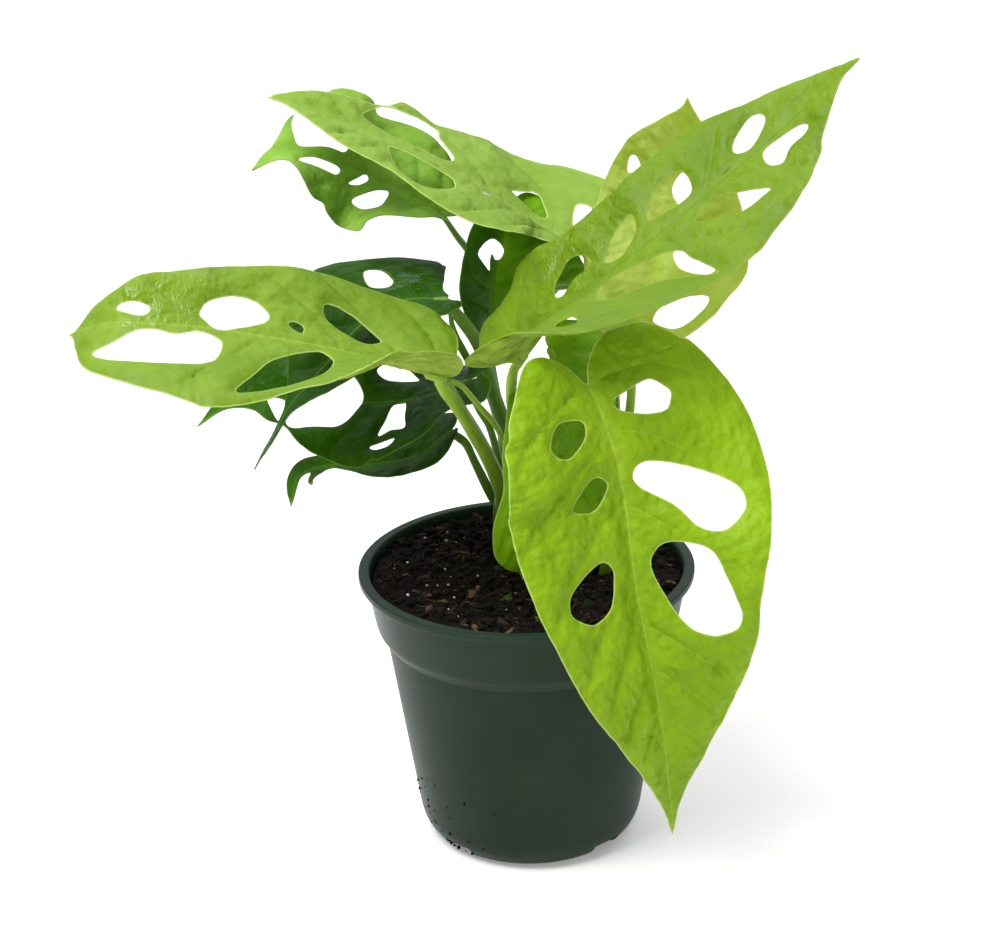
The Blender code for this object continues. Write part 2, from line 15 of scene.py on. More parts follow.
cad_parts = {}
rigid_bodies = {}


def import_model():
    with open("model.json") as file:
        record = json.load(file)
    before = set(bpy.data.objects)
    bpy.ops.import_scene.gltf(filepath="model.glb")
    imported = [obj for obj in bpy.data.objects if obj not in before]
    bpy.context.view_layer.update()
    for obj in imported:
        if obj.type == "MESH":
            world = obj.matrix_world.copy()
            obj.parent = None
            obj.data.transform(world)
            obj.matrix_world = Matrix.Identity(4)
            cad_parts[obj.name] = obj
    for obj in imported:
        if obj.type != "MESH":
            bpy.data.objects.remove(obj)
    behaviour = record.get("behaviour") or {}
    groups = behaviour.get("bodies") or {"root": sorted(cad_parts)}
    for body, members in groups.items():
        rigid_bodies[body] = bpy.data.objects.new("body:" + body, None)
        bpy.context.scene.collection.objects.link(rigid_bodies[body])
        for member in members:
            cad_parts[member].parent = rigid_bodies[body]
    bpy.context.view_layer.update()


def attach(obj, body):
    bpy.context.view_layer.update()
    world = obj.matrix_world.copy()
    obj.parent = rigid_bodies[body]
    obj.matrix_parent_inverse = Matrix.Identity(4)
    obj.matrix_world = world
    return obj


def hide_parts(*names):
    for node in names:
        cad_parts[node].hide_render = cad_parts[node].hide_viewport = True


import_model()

MM = 0.001
FULL_TURN = 2 * math.pi
SMOOTH_ANGLE = math.radians(50)

# Pot
POT_HEIGHT = 98.0
POT_WALL = 1.3
POT_FLOOR = 2.0
FOOT_CURVE = [(31.0, 0.0), (33.4, 0.8), (35.6, 2.7), (37.3, 5.4), (38.4, 8.6)]
WALL_LOW = (39.0, 12.0)
WALL_HIGH = (48.2, 74.0)
SHOULDER_START = (48.05, 73.0)
SHOULDER = [(49.4, 75.6), (51.0, 78.0), (51.8, 80.5)]
BAND_TOP = (54.0, 94.0)
LIP_RADIUS = 57.0
LIP_THICK = 2.6
POT_SIDES = 192
DRAIN_COUNT = 4
DRAIN_TURN = 45.0
DRAIN_SIZE = (14.0, 12.0, 6.0)
DRAIN_RADIUS = 37.0
DRAIN_BELOW = -1.0

# Soil. Each clod layer is (height, size, place in the noise).
SOIL_TOP = 93.7
SOIL_RADIUS = 52.2
SOIL_RINGS = 80
SOIL_SIDES = 420
SOIL_EDGE = 50.2
CLODS = [(1.0, 13.0, (3, 1, 0)), (0.9, 5.5, (0, 9, 2)), (0.75, 2.6, (5, 0, 7)), (0.4, 1.2, (0, 4, 11))]
BANK_START = 30.0
BANK_REACH = 18.0
BANK_HEIGHT = 1.7
ROOT_BALL = [(SOIL_RADIUS - 0.3, 84.0), (45.5, 70.0), (36.9, 12.0)]
ROOT_BALL_END = 6.0
MOSS_SPOTS = [(-12, 2, 5), (20, -21, 4), (-26, 14, 4), (42, 8, 5), (3, -38, 3), (-6, -20, 3)]
FIBRE_STEPS = 7
FIBRE_SIDES = 5

# Stalks
STALK_SIDES = 20
STALK_STEPS = 10
STALK_FOOT = 97.0
STALK_BURIED = 88.0
STALK_SHAPE = (0.88, 0.22, 0.06)
STALK_UP = (0.0, -0.6, 0.8)
STEM_BURIED = 84.0
MAIN_CROWN = (-2.0, 34.0)
SECOND_CROWN = (25.0, 5.0)

# Blades. A sheet is THIN at its rim and gains THICKER further in, and its rim drops a little.
SHEET_STEP = 1.15
EDGE_STEP = 0.9
SPARE_SHARE = 0.45
LOBE_SHARE = 0.15
RIB_STEPS = 30
MARGIN_STEPS = 12
SOFT_ROWS = 201
SOFT_REACH = 20
CREASE_SOFT = 1.2
WANDER_SIZE = 9.0
MARGIN_WANDER = 0.3
HOLE_WANDER = 0.25
CURL_RADIUS = 2.0
CURL_FADE = 0.4
CURL_NEAR = 0.3
CURL_PROBE = 0.4
THIN = 0.26
THICKER = 0.22
RIM_DROP = 0.28
RIDGE = 0.22

# Veins
VEIN_COUNT = 8.5
VEIN_LEAN = 0.25
VEIN_CURVE = 0.011
VEIN_SWEEP = 0.9
VEIN_FAN = 16.0
VEIN_BESIDE = 0.55

# Camera, world and floor. These whites are as a node takes them.
CAMERA_TILT = 26.61
CAMERA_AIM = 60.0
CAMERA_DISTANCE = 831.0
CAMERA_YAW = -0.58
CAMERA_PITCH = 4.65
CAMERA_ROLL = -1.46
CAMERA_LENS = 86.4
CAMERA_SENSOR = 36.0
WORLD_WHITE = (1.0, 1.0, 1.0, 1.0)
WORLD_STRENGTH = 0.5
FLOOR_REACH = 4000
FLOOR_WHITE = (0.9, 0.9, 0.9, 1.0)
FLOOR_SHADE = (0.88, 0.88, 0.88, 1.0)
FLOOR_GLOW = 0.25

# Colours as they look on screen, each as red, green and blue from 0 to 255
POT_COLOUR = (26, 42, 28)
POT_LIGHT = (33, 49, 35)
# Painted highlight: the lighter, greyer green given to the top of the rim
POT_RIM_SHEEN = (36, 56, 48)
DUST = (52, 44, 34)
SOIL_BLACK = (9, 7, 5)
SOIL_BROWN = (24, 18, 13)
SOIL_TAN = (62, 47, 35)

# Colours of a stalk at the soil, at the blade and in its streaks
STALK_COLOURS = {
    "petiole_pale": ((104, 138, 24), (152, 184, 58), (88, 124, 14)),
    "petiole_dark": ((84, 122, 28), (104, 144, 48), (60, 96, 18)),
}
# Dark, middle and light colours of what lies on the soil
CRUMBS = ((10, 8, 6), (26, 19, 14), (66, 50, 37))
CHIPS = ((24, 17, 12), (52, 37, 27), (106, 82, 60))
PERLITE = ((150, 142, 132), (206, 200, 192), (232, 228, 222))
MOSS = ((22, 28, 8), (40, 50, 16), (70, 80, 30))
FIBRES = ((26, 19, 14), (48, 36, 27), (92, 74, 56))

# kind and slot: the names of the material and of its finish. light, dark: the blade's colours, which also
# paint light and shade on its puckers and shade beside its veins.
# vein, rib, edge: its lateral veins, midrib and rim. below: its underside. through: the tint of light that
# comes through. rough, shine, glow: roughness, gloss and share of light let through.
# swell, groove, lumps, wave: heights in millimetres of the swelling between veins, the vein grooves,
# the small lumps and the wave of the margin. gloss: (along, across, radius) of a crinkled, glossy patch.
# The last field: how far the right half takes the colour of the veins, a painted light that brightens that
# half while the left lies in shade.
Look = namedtuple(
    "Look",
    "kind slot light dark vein rib edge below through rough shine glow swell groove lumps wave"
    " vein_share rib_share edge_share gloss fresh",
)

LIME = Look(
    kind="lime", slot="leaf_lime", light=(153, 191, 22), dark=(133, 173, 10), vein=(176, 212, 60),
    rib=(192, 218, 70), edge=(206, 226, 130), below=(170, 204, 70), through=(186, 215, 10), rough=0.5,
    shine=0.2, glow=0.24, swell=1.1, groove=0.4, lumps=2.0, wave=0.7, vein_share=0.3, rib_share=0.5,
    edge_share=0.7, gloss=(0, 0, 0.01), fresh=0.0,
)
LIME_LEFT = LIME._replace(
    kind="left", light=(124, 157, 32), dark=(108, 143, 16), vein=(140, 172, 46), rib=(156, 182, 58),
    below=(172, 192, 74), lumps=1.1, shine=0.32, gloss=(88, 14, 26), edge_share=0.5,
)
LIME_UPPER = LIME_LEFT._replace(
    kind="upper", light=(116, 148, 8), dark=(100, 134, 2), vein=(128, 160, 24), rib=(90, 124, 6),
    edge=(146, 176, 48), lumps=1.35, shine=0.28, gloss=(34, -16, 20),
)
LIME_SOFT = LIME._replace(
    kind="soft", light=(138, 172, 66), dark=(126, 160, 52), vein=(150, 184, 76), rib=(162, 190, 82),
    rough=0.55, rib_share=0.3, lumps=1.1,
)
LIME_WARM = LIME._replace(
    kind="warm", light=(204, 218, 132), dark=(174, 198, 92), through=(225, 230, 80), glow=0.55,
)
DARK = Look(
    kind="dark", slot="leaf_dark", light=(56, 100, 10), dark=(34, 76, 2), vein=(84, 140, 30),
    rib=(104, 152, 50), edge=(120, 160, 70), below=(78, 122, 30), through=(80, 150, 4), rough=0.42,
    shine=0.08, glow=0.12, swell=0.7, groove=0.4, lumps=1.0, wave=0.8, vein_share=0.2, rib_share=0.4,
    edge_share=0.4, gloss=(0, 0, 0.01), fresh=0.0,
)
DARK_LOW = DARK._replace(
    kind="low", light=(42, 84, 8), dark=(28, 64, 2), vein=(66, 116, 20), shine=0.1, gloss=(14, 9, 9),
)
# Painted light: its right half takes the brighter vein colour as the lit half, while the left half stays in
# shade.
DARK_HALF = DARK._replace(
    kind="half", vein=(124, 180, 20), through=(120, 180, 8), glow=0.25, fresh=0.7,
)
MIDDLE = DARK._replace(
    kind="middle", light=(152, 194, 80), dark=(116, 160, 50), vein=(136, 178, 60), through=(130, 180, 20),
    glow=0.25,
)
GREEN = LIME._replace(
    kind="green", slot="leaf_green", light=(146, 194, 10), dark=(118, 170, 2), vein=(140, 188, 36),
    rib=(146, 192, 40), edge=(176, 208, 100), below=(130, 172, 36), glow=0.35,
)

# tip: where the midrib of the flat pattern ends; both halves of the margin run from (0, 0) to it.
# rib: points along the midrib from base to tip.
# facing: (azimuth, elevation) of the upper face at the base, middle and tip, where azimuth 0 is -Y.
# fold: upward fold of the right half, then of the left, at the base, middle and tip, in degrees.
# right, left: the margin of each half between its ends, as (along the midrib, out from it).
# holes: points round each hole, as (along, across), across > 0 on the right half.
# curls: (side, first, last, width, turn) of each strip of the margin that is turned up, where side is 1
# on the right half, first and last are places along the midrib, and turn is in degrees.
# The right half lies to the right on the upper face with the tip ahead.
Blade = namedtuple("Blade", "name look tip rib facing fold right left holes curls", defaults=((), ()))

# Young lime blades

BLADE_FRONT = Blade(
    "front", LIME, tip=148,
    rib=[(20, -53, 181), (24, -56, 173), (30, -60, 151), (34, -68, 119), (41, -75, 79), (45, -80, 39)],
    facing=[(16, 52), (23, 41), (43, 37)],
    fold=[(4, 18, 20), (2, 38, -1)],
    right=[
        (-8, 4), (-14, 10), (-14, 17), (-6, 25), (3, 33), (13, 37.5), (23, 40), (38, 42), (60, 40),
        (84, 34), (99, 29), (118, 17), (136, 5.5),
    ],
    left=[
        (-7, 4), (-12, 12), (-12, 19), (-10, 27), (-4, 33), (8, 41), (27, 45), (51, 44), (67, 40.5),
        (77, 37.5), (90, 33.5), (108, 24), (126, 13), (138, 4),
    ],
    holes=[
        [(7, -6), (6, -17), (7, -21), (11, -24), (14, -23), (16, -20), (15, -14), (12, -8), (9, -5)],
        [(31, -4), (28, -7), (29, -14), (37, -33), (42, -37), (46, -35), (50, -29), (48, -22), (41, -15),
         (35, -6)],
        [(84, -28), (84, -20), (78, -13), (61, -6), (54, -8), (52, -14), (56, -25), (66, -29), (75, -31),
         (80, -31)],
        [(13, 21), (8, 17), (7, 14), (9, 8), (12, 7), (15, 9), (18, 15), (17, 19)],
        [(38, 18), (35, 18), (29, 12), (28, 8), (31, 5), (35, 7), (39, 12)],
        [(58, 8), (64, 9), (69, 12), (71, 20), (67, 27), (62, 26), (58, 20), (55, 12)],
    ],
)

BLADE_LEFT = Blade(
    "left", LIME_LEFT, tip=131,
    rib=[
        (-26, -22, 175), (-43, -23, 180), (-70, -29, 189), (-100, -36, 197), (-124, -39, 200),
        (-144, -22, 191),
    ],
    facing=[(-8, 72), (-10, 62), (-21, 53)],
    fold=[(-3, 1, 13), (53, 11, 4)],
    right=[
        (-4, 3), (-5, 9), (-5, 19), (-3, 27), (3, 33), (14, 36), (25, 37), (37, 36.5), (56, 33), (83, 23),
        (98, 18), (109, 13.5), (119, 8), (127, 1),
    ],
    left=[
        (-4, 3), (-5, 11), (-4, 20), (-1, 27), (6, 31), (15, 33), (27, 38), (34, 39), (41, 36), (47, 32),
        (55, 33), (73, 39), (84, 37), (92, 32), (101, 24), (107, 19), (114, 12), (124, 4),
    ],
    holes=[
        [(105, 7), (100, 8), (95, 7), (94, 5), (97, 3), (103, 4), (106, 5)],
        [(56, 10), (58, 6), (66, 2), (73, 0), (78, 4), (78, 7), (75, 12), (67, 16), (60, 15)],
        [(107, -13), (103, -8), (98, -3), (92, -2), (86, -4), (79, -2), (73, -5), (72, -9), (75, -17),
         (84, -19), (95, -18)],
        [(50, 7), (48, 9), (45, 7), (46, 4)],
        [(36, 22), (29, 20), (20, 12), (20, 9), (26, 7), (36, 12), (38, 18)],
        [(69, -31), (63, -22), (56, -13), (42, -5), (39, -7), (38, -15), (42, -24), (49, -28), (60, -30)],
    ],
    curls=[(-1, 10, 50, 4.5, 115)],
)

BLADE_UPPER_LEFT = Blade(
    "upper_left", LIME_SOFT, tip=122,
    rib=[(22, 43, 195), (7, 53, 202), (-13, 53, 216), (-33, 51, 228), (-53, 49, 237), (-82, 46, 250)],
    facing=[(1, 84), (-1, 80), (0, 72)],
    fold=[(15, 1, 16), (27, 0, 11)],
    right=[
        (-5, 2), (-10, 8), (-9, 18), (-2, 27), (8, 33), (21, 36), (27, 34), (43, 35), (56, 33), (62, 30),
        (74, 31), (82, 22), (100, 14), (107, 11), (119, 3),
    ],
    left=[
        (-2, 2), (-3, 7), (-1, 14), (4, 20), (14, 28), (27, 35), (39, 38), (60, 32), (80, 20), (96, 15),
        (108, 7), (117, 1),
    ],
    holes=[
        [(88, 9), (88, 13), (82, 21), (75, 24), (62, 26), (60, 20), (55, 13), (55, 8), (60, 5), (75, 4)],
        [(77, -3), (57, -5), (54, -9), (55, -15), (64, -22), (74, -19), (78, -9)],
        [(25, 15), (22, 11), (19, 5), (23, 4), (29, 7), (32, 9), (29, 12)],
        [(11, 8), (14, 13), (15, 18), (12, 19), (10, 14)],
        [(31, -1.5), (37, -3), (43, -5), (42, -6), (36, -4), (31, -2.5)],
    ],
)

BLADE_UPPER_RIGHT = Blade(
    "upper_right", LIME_UPPER, tip=150,
    rib=[(-2, -4, 172), (13, -11, 192), (38, -16, 213), (63, -10, 232), (89, -4, 253), (106, -8, 271)],
    facing=[(-23, 57), (-16, 65), (-13, 64)],
    fold=[(56, 12, 1), (-2, -1, -2)],
    right=[
        (-1, 4), (0, 12), (3, 22), (6, 29), (10, 34.5), (15, 38), (21, 41), (27, 45), (32, 48.5), (38, 50),
        (44, 49), (50, 44), (56, 40), (63, 38.5), (76, 40), (92, 36), (118, 22), (125, 16), (136, 7.5),
        (142, 1.5), (146, 0.5),
    ],
    left=[
        (-4, 3), (-9, 7), (-13, 12), (-15, 19), (-11, 27), (-1, 27), (5, 28), (13, 33), (22, 33), (32, 30),
        (51, 31), (61, 29), (76, 29), (98, 27), (115, 19), (130, 12),
    ],
    holes=[
        [(116, -11), (115, -7), (107, -3), (102, -5), (103, -9), (112, -13)],
        [(124, 7), (121, 9), (115, 9), (109, 12), (106, 8), (108, 2), (114, 2), (122, 4)],
        [(67, -8), (72, -14), (79, -17), (85, -16), (86, -11), (83, -5), (76, -5)],
        [(79, 4), (86, 3), (92, 8), (100, 17), (99, 19), (90, 19), (83, 14), (78, 8)],
        [(71, 36), (66, 30), (60, 24), (52, 23), (45, 21), (43, 10), (45, 5), (53, 5), (63, 9), (68, 14),
         (69, 21)],
        [(41, -11), (40, -8), (33, -8), (28, -5), (25, -7), (27, -12), (33, -17), (38, -15)],
        [(63, -16), (63, -12), (60, -7), (52, -3), (46, -6), (52, -14), (58, -16)],
        [(38, 28), (40, 31), (41, 36), (37, 37), (35, 34), (36, 30)],
        [(17, 31), (16.5, 25), (13, 19), (11, 21), (13, 27)],
    ],
    curls=[(1, -30, 66, 5, 60)],
)

BLADE_BACK_RIGHT = Blade(
    "back_right", LIME_WARM, tip=92,
    rib=[(37, 23, 171), (44, 29, 185), (51, 36, 207), (55, 31, 232), (55, 18, 253)],
    facing=[(-13, 44), (-13, 41), (-9, 37)],
    fold=[(28, 3, 13), (8, 4, 7)],
    right=[
        (-4, 2), (-8, 6), (-7, 12), (-1, 18), (7, 24), (16, 28), (26, 31), (35, 30), (54, 23), (69, 14),
        (83, 5),
    ],
    left=[(-2, 1), (-3, 5), (-2, 11), (6, 19), (20, 25), (40, 26), (50, 25), (67, 19), (79, 9), (87, 2)],
    holes=[
        [(53, -18), (59, -18), (60, -16), (56, -14)],
        [(7, 6), (12, 6), (18, 15), (19, 23), (12, 21), (7, 16)],
        [(47, 1), (52, -2), (59, 1), (55, 5), (49, 5)],
        [(31, 4), (33, 12), (30, 20), (26, 18), (26, 8)],
    ],
)

# Older blades, darker and smaller

BLADE_DARK_UPPER_LEFT = Blade(
    "dark_upper_left", MIDDLE, tip=74,
    rib=[(-27, 58, 205), (-37, 59, 212), (-51, 62, 218), (-64, 56, 226), (-77, 53, 230), (-91, 52, 224)],
    facing=[(2, 68), (-2, 36), (-9, 77)],
    fold=[(10, 8, -3), (38, -2, 29)],
    right=[
        (-3, 1), (-6, 5), (-5, 12), (0, 17), (7, 21), (14, 23), (22, 23), (31, 21), (34, 25), (39, 26),
        (47, 26), (50, 23), (54, 15), (57, 16), (61, 9), (65, 6), (69, 5),
    ],
    left=[
        (-3, 2), (-4, 6), (0, 11), (7, 19), (13, 19), (19, 21), (20, 26), (27, 23), (42, 21), (45, 18),
        (50, 19), (55, 15), (61, 6), (69, 1),
    ],
    holes=[
        [(54, 18), (42, 16), (38, 11), (39, 4), (46, 4), (55, 2), (57, 7), (57, 14)],
        [(40, -2), (41, -5), (48, -5), (55, -6), (55, -4), (49, -1)],
        [(35, -6), (32, -3), (29, 0), (28, -2), (31, -5)],
        [(32, -12), (27, -7), (22, -4), (19, -4), (18, -12), (22, -14)],
    ],
)

BLADE_DARK_LEFT = Blade(
    "dark_left", DARK_LOW, tip=95,
    rib=[
        (-25, 28, 184), (-39, 27, 184), (-52, 18, 180), (-64, 6, 170), (-76, -5, 159), (-83, -8, 149),
        (-89, -11, 139),
    ],
    facing=[(-3, 82), (-24, 50), (-78, 31)],
    fold=[(-1, 22, -21), (7, 20, 13)],
    right=[
        (-1, 3), (1, 8), (0, 17), (-1, 26), (0, 28), (3, 27.5), (9, 26), (15, 27), (22, 28.5), (29, 28),
        (38, 24.5), (47, 19.5), (60, 10), (72, 2.5), (80, 2), (87, 2.5), (92, 1),
    ],
    left=[
        (-3, 1), (-5, 4), (-4, 9), (1, 15), (9, 19), (23, 23), (40, 21), (59, 17), (65, 13), (72, 5),
        (78, 4), (84, 4), (90, 2),
    ],
    holes=[
        [(16, 9), (20, 12), (18, 20), (15, 19), (14, 12)],
    ],
)

BLADE_DARK_LOWER_LEFT = Blade(
    "dark_lower_left", DARK, tip=99,
    rib=[(-19, 22, 157), (-35, 25, 150), (-54, 28, 147), (-76, 26, 149), (-96, 19, 152), (-111, 20, 143)],
    facing=[(-1, 73), (-1, 62), (-2, 72)],
    fold=[(-22, 18, 8), (10, -6, 19)],
    right=[
        (-6, 1), (-8, 4), (-6, 8), (-2, 13), (4, 20), (12, 24), (24, 25), (50, 26), (60, 21), (75, 14),
        (88, 6), (95, 2),
    ],
    left=[
        (-7, 1.5), (-10, 8), (-11, 16), (-9, 22), (-2, 20), (4, 18), (9, 20), (12, 24), (28, 28), (33, 26),
        (39, 28), (51, 24), (63, 20), (68, 13), (74, 12), (78, 6), (88, 1.5),
    ],
    holes=[
        [(66, -13), (56, -11), (46, -10), (40, -3), (38, 3), (41, 10), (44, 10), (55, 3), (65, -6)],
        [(70, -11), (71, 0), (64, 0), (67, -6)],
        [(34, 14), (30, 10), (20, 10), (22, 14), (27, 18), (31, 18)],
        [(23, -1), (27, -2), (29, -9), (31, -16), (26, -15), (21, -16), (22, -9)],
        [(24, -20), (34, -20), (32, -22), (26, -23)],
    ],
)

BLADE_DARK_LOWEST = Blade(
    "dark_lowest", DARK, tip=70,
    rib=[
        (-25, 29, 136), (-37, 30, 126.5), (-53, 31, 123.5), (-68, 28, 124.5), (-78, 23, 122.5),
        (-81, 19, 113.5),
    ],
    facing=[(-6, 75), (-14, 60), (-27, 58)],
    fold=[(-7, 15, 8), (5, 21, 44)],
    right=[
        (-3, 2), (-3, 7), (0, 12), (5, 14.5), (10, 13), (15, 9), (22, 5), (32, 4.5), (42, 4.5), (50, 5),
        (55, 5), (60, 3.5), (66, 2),
    ],
    left=[
        (-3, 1.5), (-2, 5), (3, 9), (9, 10), (16, 9.5), (24, 10), (32, 8), (40, 4), (46, 2), (51, 5),
        (56, 13), (60, 21), (60.5, 17), (57.5, 9), (54.5, 2), (57, 0.8), (62, 1.5),
    ],
)

BLADE_DARK_CENTRE = Blade(
    "dark_centre", DARK_HALF, tip=58,
    rib=[(-9, 54, 159), (-10, 52, 176), (-8, 51, 190), (-6, 53, 198), (-2, 68, 207)],
    facing=[(49, 34), (24, 26), (7, 24)],
    fold=[(9, 15, 17), (27, 20, 15)],
    right=[
        (-3, 1), (-5, 8), (-2, 18), (5, 26), (14, 31), (25, 33), (35, 31), (44, 24), (52, 15), (60, 10),
        (62, 4),
    ],
    left=[(-3, 1), (-4, 5), (1, 11), (8, 14), (16, 17), (29, 15), (39, 12), (49, 6), (55, 1)],
    holes=[
        [(34, -8), (36, -6.5), (38, -3), (37.5, 0), (35, 2), (32, 1.5), (31, 0), (33.5, -2), (31, -2.2),
         (27, -1.5), (29, -4), (31.5, -6.5)],
    ],
)

BLADE_GREEN_HANGING = Blade(
    "green_hanging", GREEN, tip=95,
    rib=[(10, 25, 166), (13, 15, 163), (16, 2, 155), (16, -12, 141), (11, -19, 119), (7, -13, 96)],
    facing=[(23, 30), (37, 24), (17, 25)],
    fold=[(6, 14, 6), (2, 4, 4)],
    right=[
        (1, 0.5), (7, 3), (14, 7), (20, 13), (27, 22), (35, 29), (47, 32), (55, 29), (61, 26), (69, 26),
        (75, 24), (80, 20), (86, 12), (91, 9),
    ],
    left=[
        (-8, 0.5), (-15, 5), (-18, 13), (-14, 21), (-4, 23), (8, 20), (23, 17), (40, 15), (55, 14),
        (68, 12), (76, 12), (84, 6),
    ],
)

# A blade's place in this list seeds its small wander and lumps.
BLADES = [
    BLADE_FRONT, BLADE_LEFT, BLADE_UPPER_LEFT, BLADE_UPPER_RIGHT, BLADE_BACK_RIGHT, BLADE_DARK_UPPER_LEFT,
    BLADE_DARK_LEFT, BLADE_DARK_LOWER_LEFT, BLADE_DARK_LOWEST, BLADE_DARK_CENTRE, BLADE_GREEN_HANGING,
]

# Petioles: name, crown, angle round it, distance from it, radii at soil and blade, points to the blade.
PETIOLES = [
    ("left", MAIN_CROWN, 226, 7.5, (3.3, 2.8),
     [(-8, 19, 118), (-12, 10, 133), (-17, 1, 147), (-22, -8, 160), (-26, -19, 171)]),
    ("sheath", MAIN_CROWN, 262, 9.5, (1.3, 1.0),
     [(-3, 14, 124), (-6, 4, 139), (-9, -2, 149), (-14, -8, 158), (-20, -13, 167.5), (-25, -18, 171)]),
    ("upper_right", MAIN_CROWN, 300, 8.5, (2.3, 1.9),
     [(1, 20, 117), (-2, 13, 138), (-4, 5, 154), (-3, -1, 167)]),
    ("dark_left", MAIN_CROWN, 122, 7.5, (3.2, 2.1),
     [(-6, 37, 129), (-8, 37, 138), (-11, 36, 149), (-13, 35, 159), (-17, 32, 170), (-24, 29, 181)]),
    ("dark_lower_left", MAIN_CROWN, 186, 7.5, (1.7, 1.4),
     [(-8, 28, 118), (-11, 26, 136), (-15, 25, 145), (-18, 23, 154)]),
    ("dark_lowest", MAIN_CROWN, 158, 7.5, (1.8, 1.4),
     [(-11, 36, 107), (-17, 33, 122), (-20, 31, 130), (-24, 30, 134)]),
    ("dark_upper_left", MAIN_CROWN, 86, 7.5, (1.6, 1.2),
     [(-8, 56, 129), (-12, 64, 153), (-14, 67, 174), (-17, 65, 187), (-22, 62, 196), (-26, 60, 203)]),
    ("dark_centre", MAIN_CROWN, 56, 7.5, (1.6, 1.2),
     [(-5, 46, 125), (-9, 52, 142), (-11, 56, 155)]),
    ("green_hanging", MAIN_CROWN, 20, 7.5, (1.7, 1.4),
     [(8, 33, 112), (12, 36, 137), (12, 34, 155), (10, 28, 164)]),
    ("front", SECOND_CROWN, 290, 6.5, (2.0, 1.6),
     [(29, -8, 113), (29, -22, 137), (26, -36, 160), (23, -44, 171), (20, -50, 178)]),
    ("back_right", SECOND_CROWN, 20, 6.5, (2.0, 1.6),
     [(32, 12, 114), (35, 20, 134), (37, 24, 150), (37, 25, 167)]),
    ("upper_left", SECOND_CROWN, 110, 6.5, (1.5, 1.1),
     [(29, 18, 117), (32, 26, 140), (32, 33, 150), (31, 40, 164), (27, 45, 179), (23, 44, 191)]),
]

# The thin dark sheath that stands off the dark left petiole
DARK_SHEATH = [
    (-14, 35.5, 152), (-17.5, 34, 158), (-20, 32.5, 163.5), (-22, 31, 168.5), (-23.5, 29.7, 174.5),
    (-24, 29, 180),
]

# Curves and surfaces


def smooth_line(points, steps):
    """A smooth line through the points, with this many steps between each two."""
    p = np.asarray(points, float)
    p = np.vstack([2 * p[0] - p[1], p, 2 * p[-1] - p[-2]])
    a, b, c, d = (p[i : len(p) - 3 + i][:, None] for i in range(4))
    u = np.linspace(0, 1, steps, endpoint=False)[None, :, None]
    line = b + 0.5 * ((c - a) * u + (2 * a - 5 * b + 4 * c - d) * u**2 + (3 * b - a - 3 * c + d) * u**3)
    return np.vstack([line.reshape(-1, p.shape[1]), p[-2]])


def unit(vectors):
    return vectors / np.linalg.norm(vectors, axis=-1, keepdims=True)


def around(turn, radius):
    return radius * math.cos(turn), radius * math.sin(turn)


def distances_along(line):
    return np.r_[0, np.cumsum(np.linalg.norm(np.diff(line, axis=0), axis=1))]


def between(places, stations, rows):
    """The rows at these places, each column in straight lines from station to station."""
    return np.stack([np.interp(places, stations, column) for column in rows.T], -1)


def eased(values, share):
    """The values at equal stations, with a soft change from each to the next."""
    values = np.asarray(values, float)
    place = np.clip(share, 0, 1) * (len(values) - 1)
    lower = np.clip(place.astype(int), 0, len(values) - 2)
    u = place - lower
    return values[lower] + (values[lower + 1] - values[lower]) * u * u * (3 - 2 * u)


def soft_step(value, low, high):
    u = np.clip((value - low) / (high - low), 0, 1)
    return u * u * (3 - 2 * u)


def bell(distance, width):
    return np.exp(-((distance / width) ** 2))


def noise_at(points, size, seed):
    """Smooth noise, about -1 to 1, at each point of a pattern."""
    return np.array([noise.noise(Vector((p[0] / size, p[1] / size, seed))) for p in points])


def facing_vectors(angles):
    azimuth, elevation = np.radians(np.asarray(angles, float)).T
    flat = np.cos(elevation)
    return np.stack([flat * np.sin(azimuth), -flat * np.cos(azimuth), np.sin(elevation)], -1)


class BladeSurface:
    """The middle surface of a blade: maps (along, across) in millimetres to a point."""

    def __init__(self, blade):
        self.blade = blade
        self.line = smooth_line(blade.rib, RIB_STEPS)
        self.at = distances_along(self.line)
        self.length = self.at[-1]
        self.tangent = unit(np.gradient(self.line, self.at, axis=0))
        facing = facing_vectors(blade.facing)
        up = self.smoothed(between(self.at, np.linspace(0, self.length, len(facing)), facing))
        self.up = unit(up - (up * self.tangent).sum(1)[:, None] * self.tangent)
        self.right = np.cross(self.tangent, self.up)

    def smoothed(self, values):
        """The values averaged over a tenth of the blade, so that its middle has no crease."""
        even = np.linspace(0, self.length, SOFT_ROWS)
        rows = between(even, self.at, values)
        before = 2 * rows[0] - rows[SOFT_REACH:0:-1]
        after = 2 * rows[-1] - rows[-2 : -SOFT_REACH - 2 : -1]
        window = np.hanning(2 * SOFT_REACH + 3)[1:-1]
        window /= window.sum()
        columns = np.vstack([before, rows, after]).T
        soft = np.stack([np.convolve(column, window, "valid") for column in columns], -1)
        return between(self.at, even, soft)

    def points(self, pattern):
        along, across = np.asarray(pattern, float).T
        inside = np.clip(along, 0, self.length)
        line, tangent, right, up = (
            between(inside, self.at, rows) for rows in (self.line, self.tangent, self.right, self.up)
        )
        share = along / self.length
        right_fold, left_fold = (eased(fold, share) for fold in self.blade.fold)
        fold = np.radians(np.where(across > 0, right_fold, left_fold))
        sideways = across * np.cos(fold)
        rise = (np.sqrt(across**2 + CREASE_SOFT**2) - CREASE_SOFT) * np.sin(fold)
        return line + (along - inside)[:, None] * tangent + sideways[:, None] * right + rise[:, None] * up


def hole_outline(points):
    """A smooth closed line through the points of a hole."""
    line = smooth_line(points[-2:] + points + points[:2], MARGIN_STEPS)
    return line[2 * MARGIN_STEPS : -MARGIN_STEPS - 1]


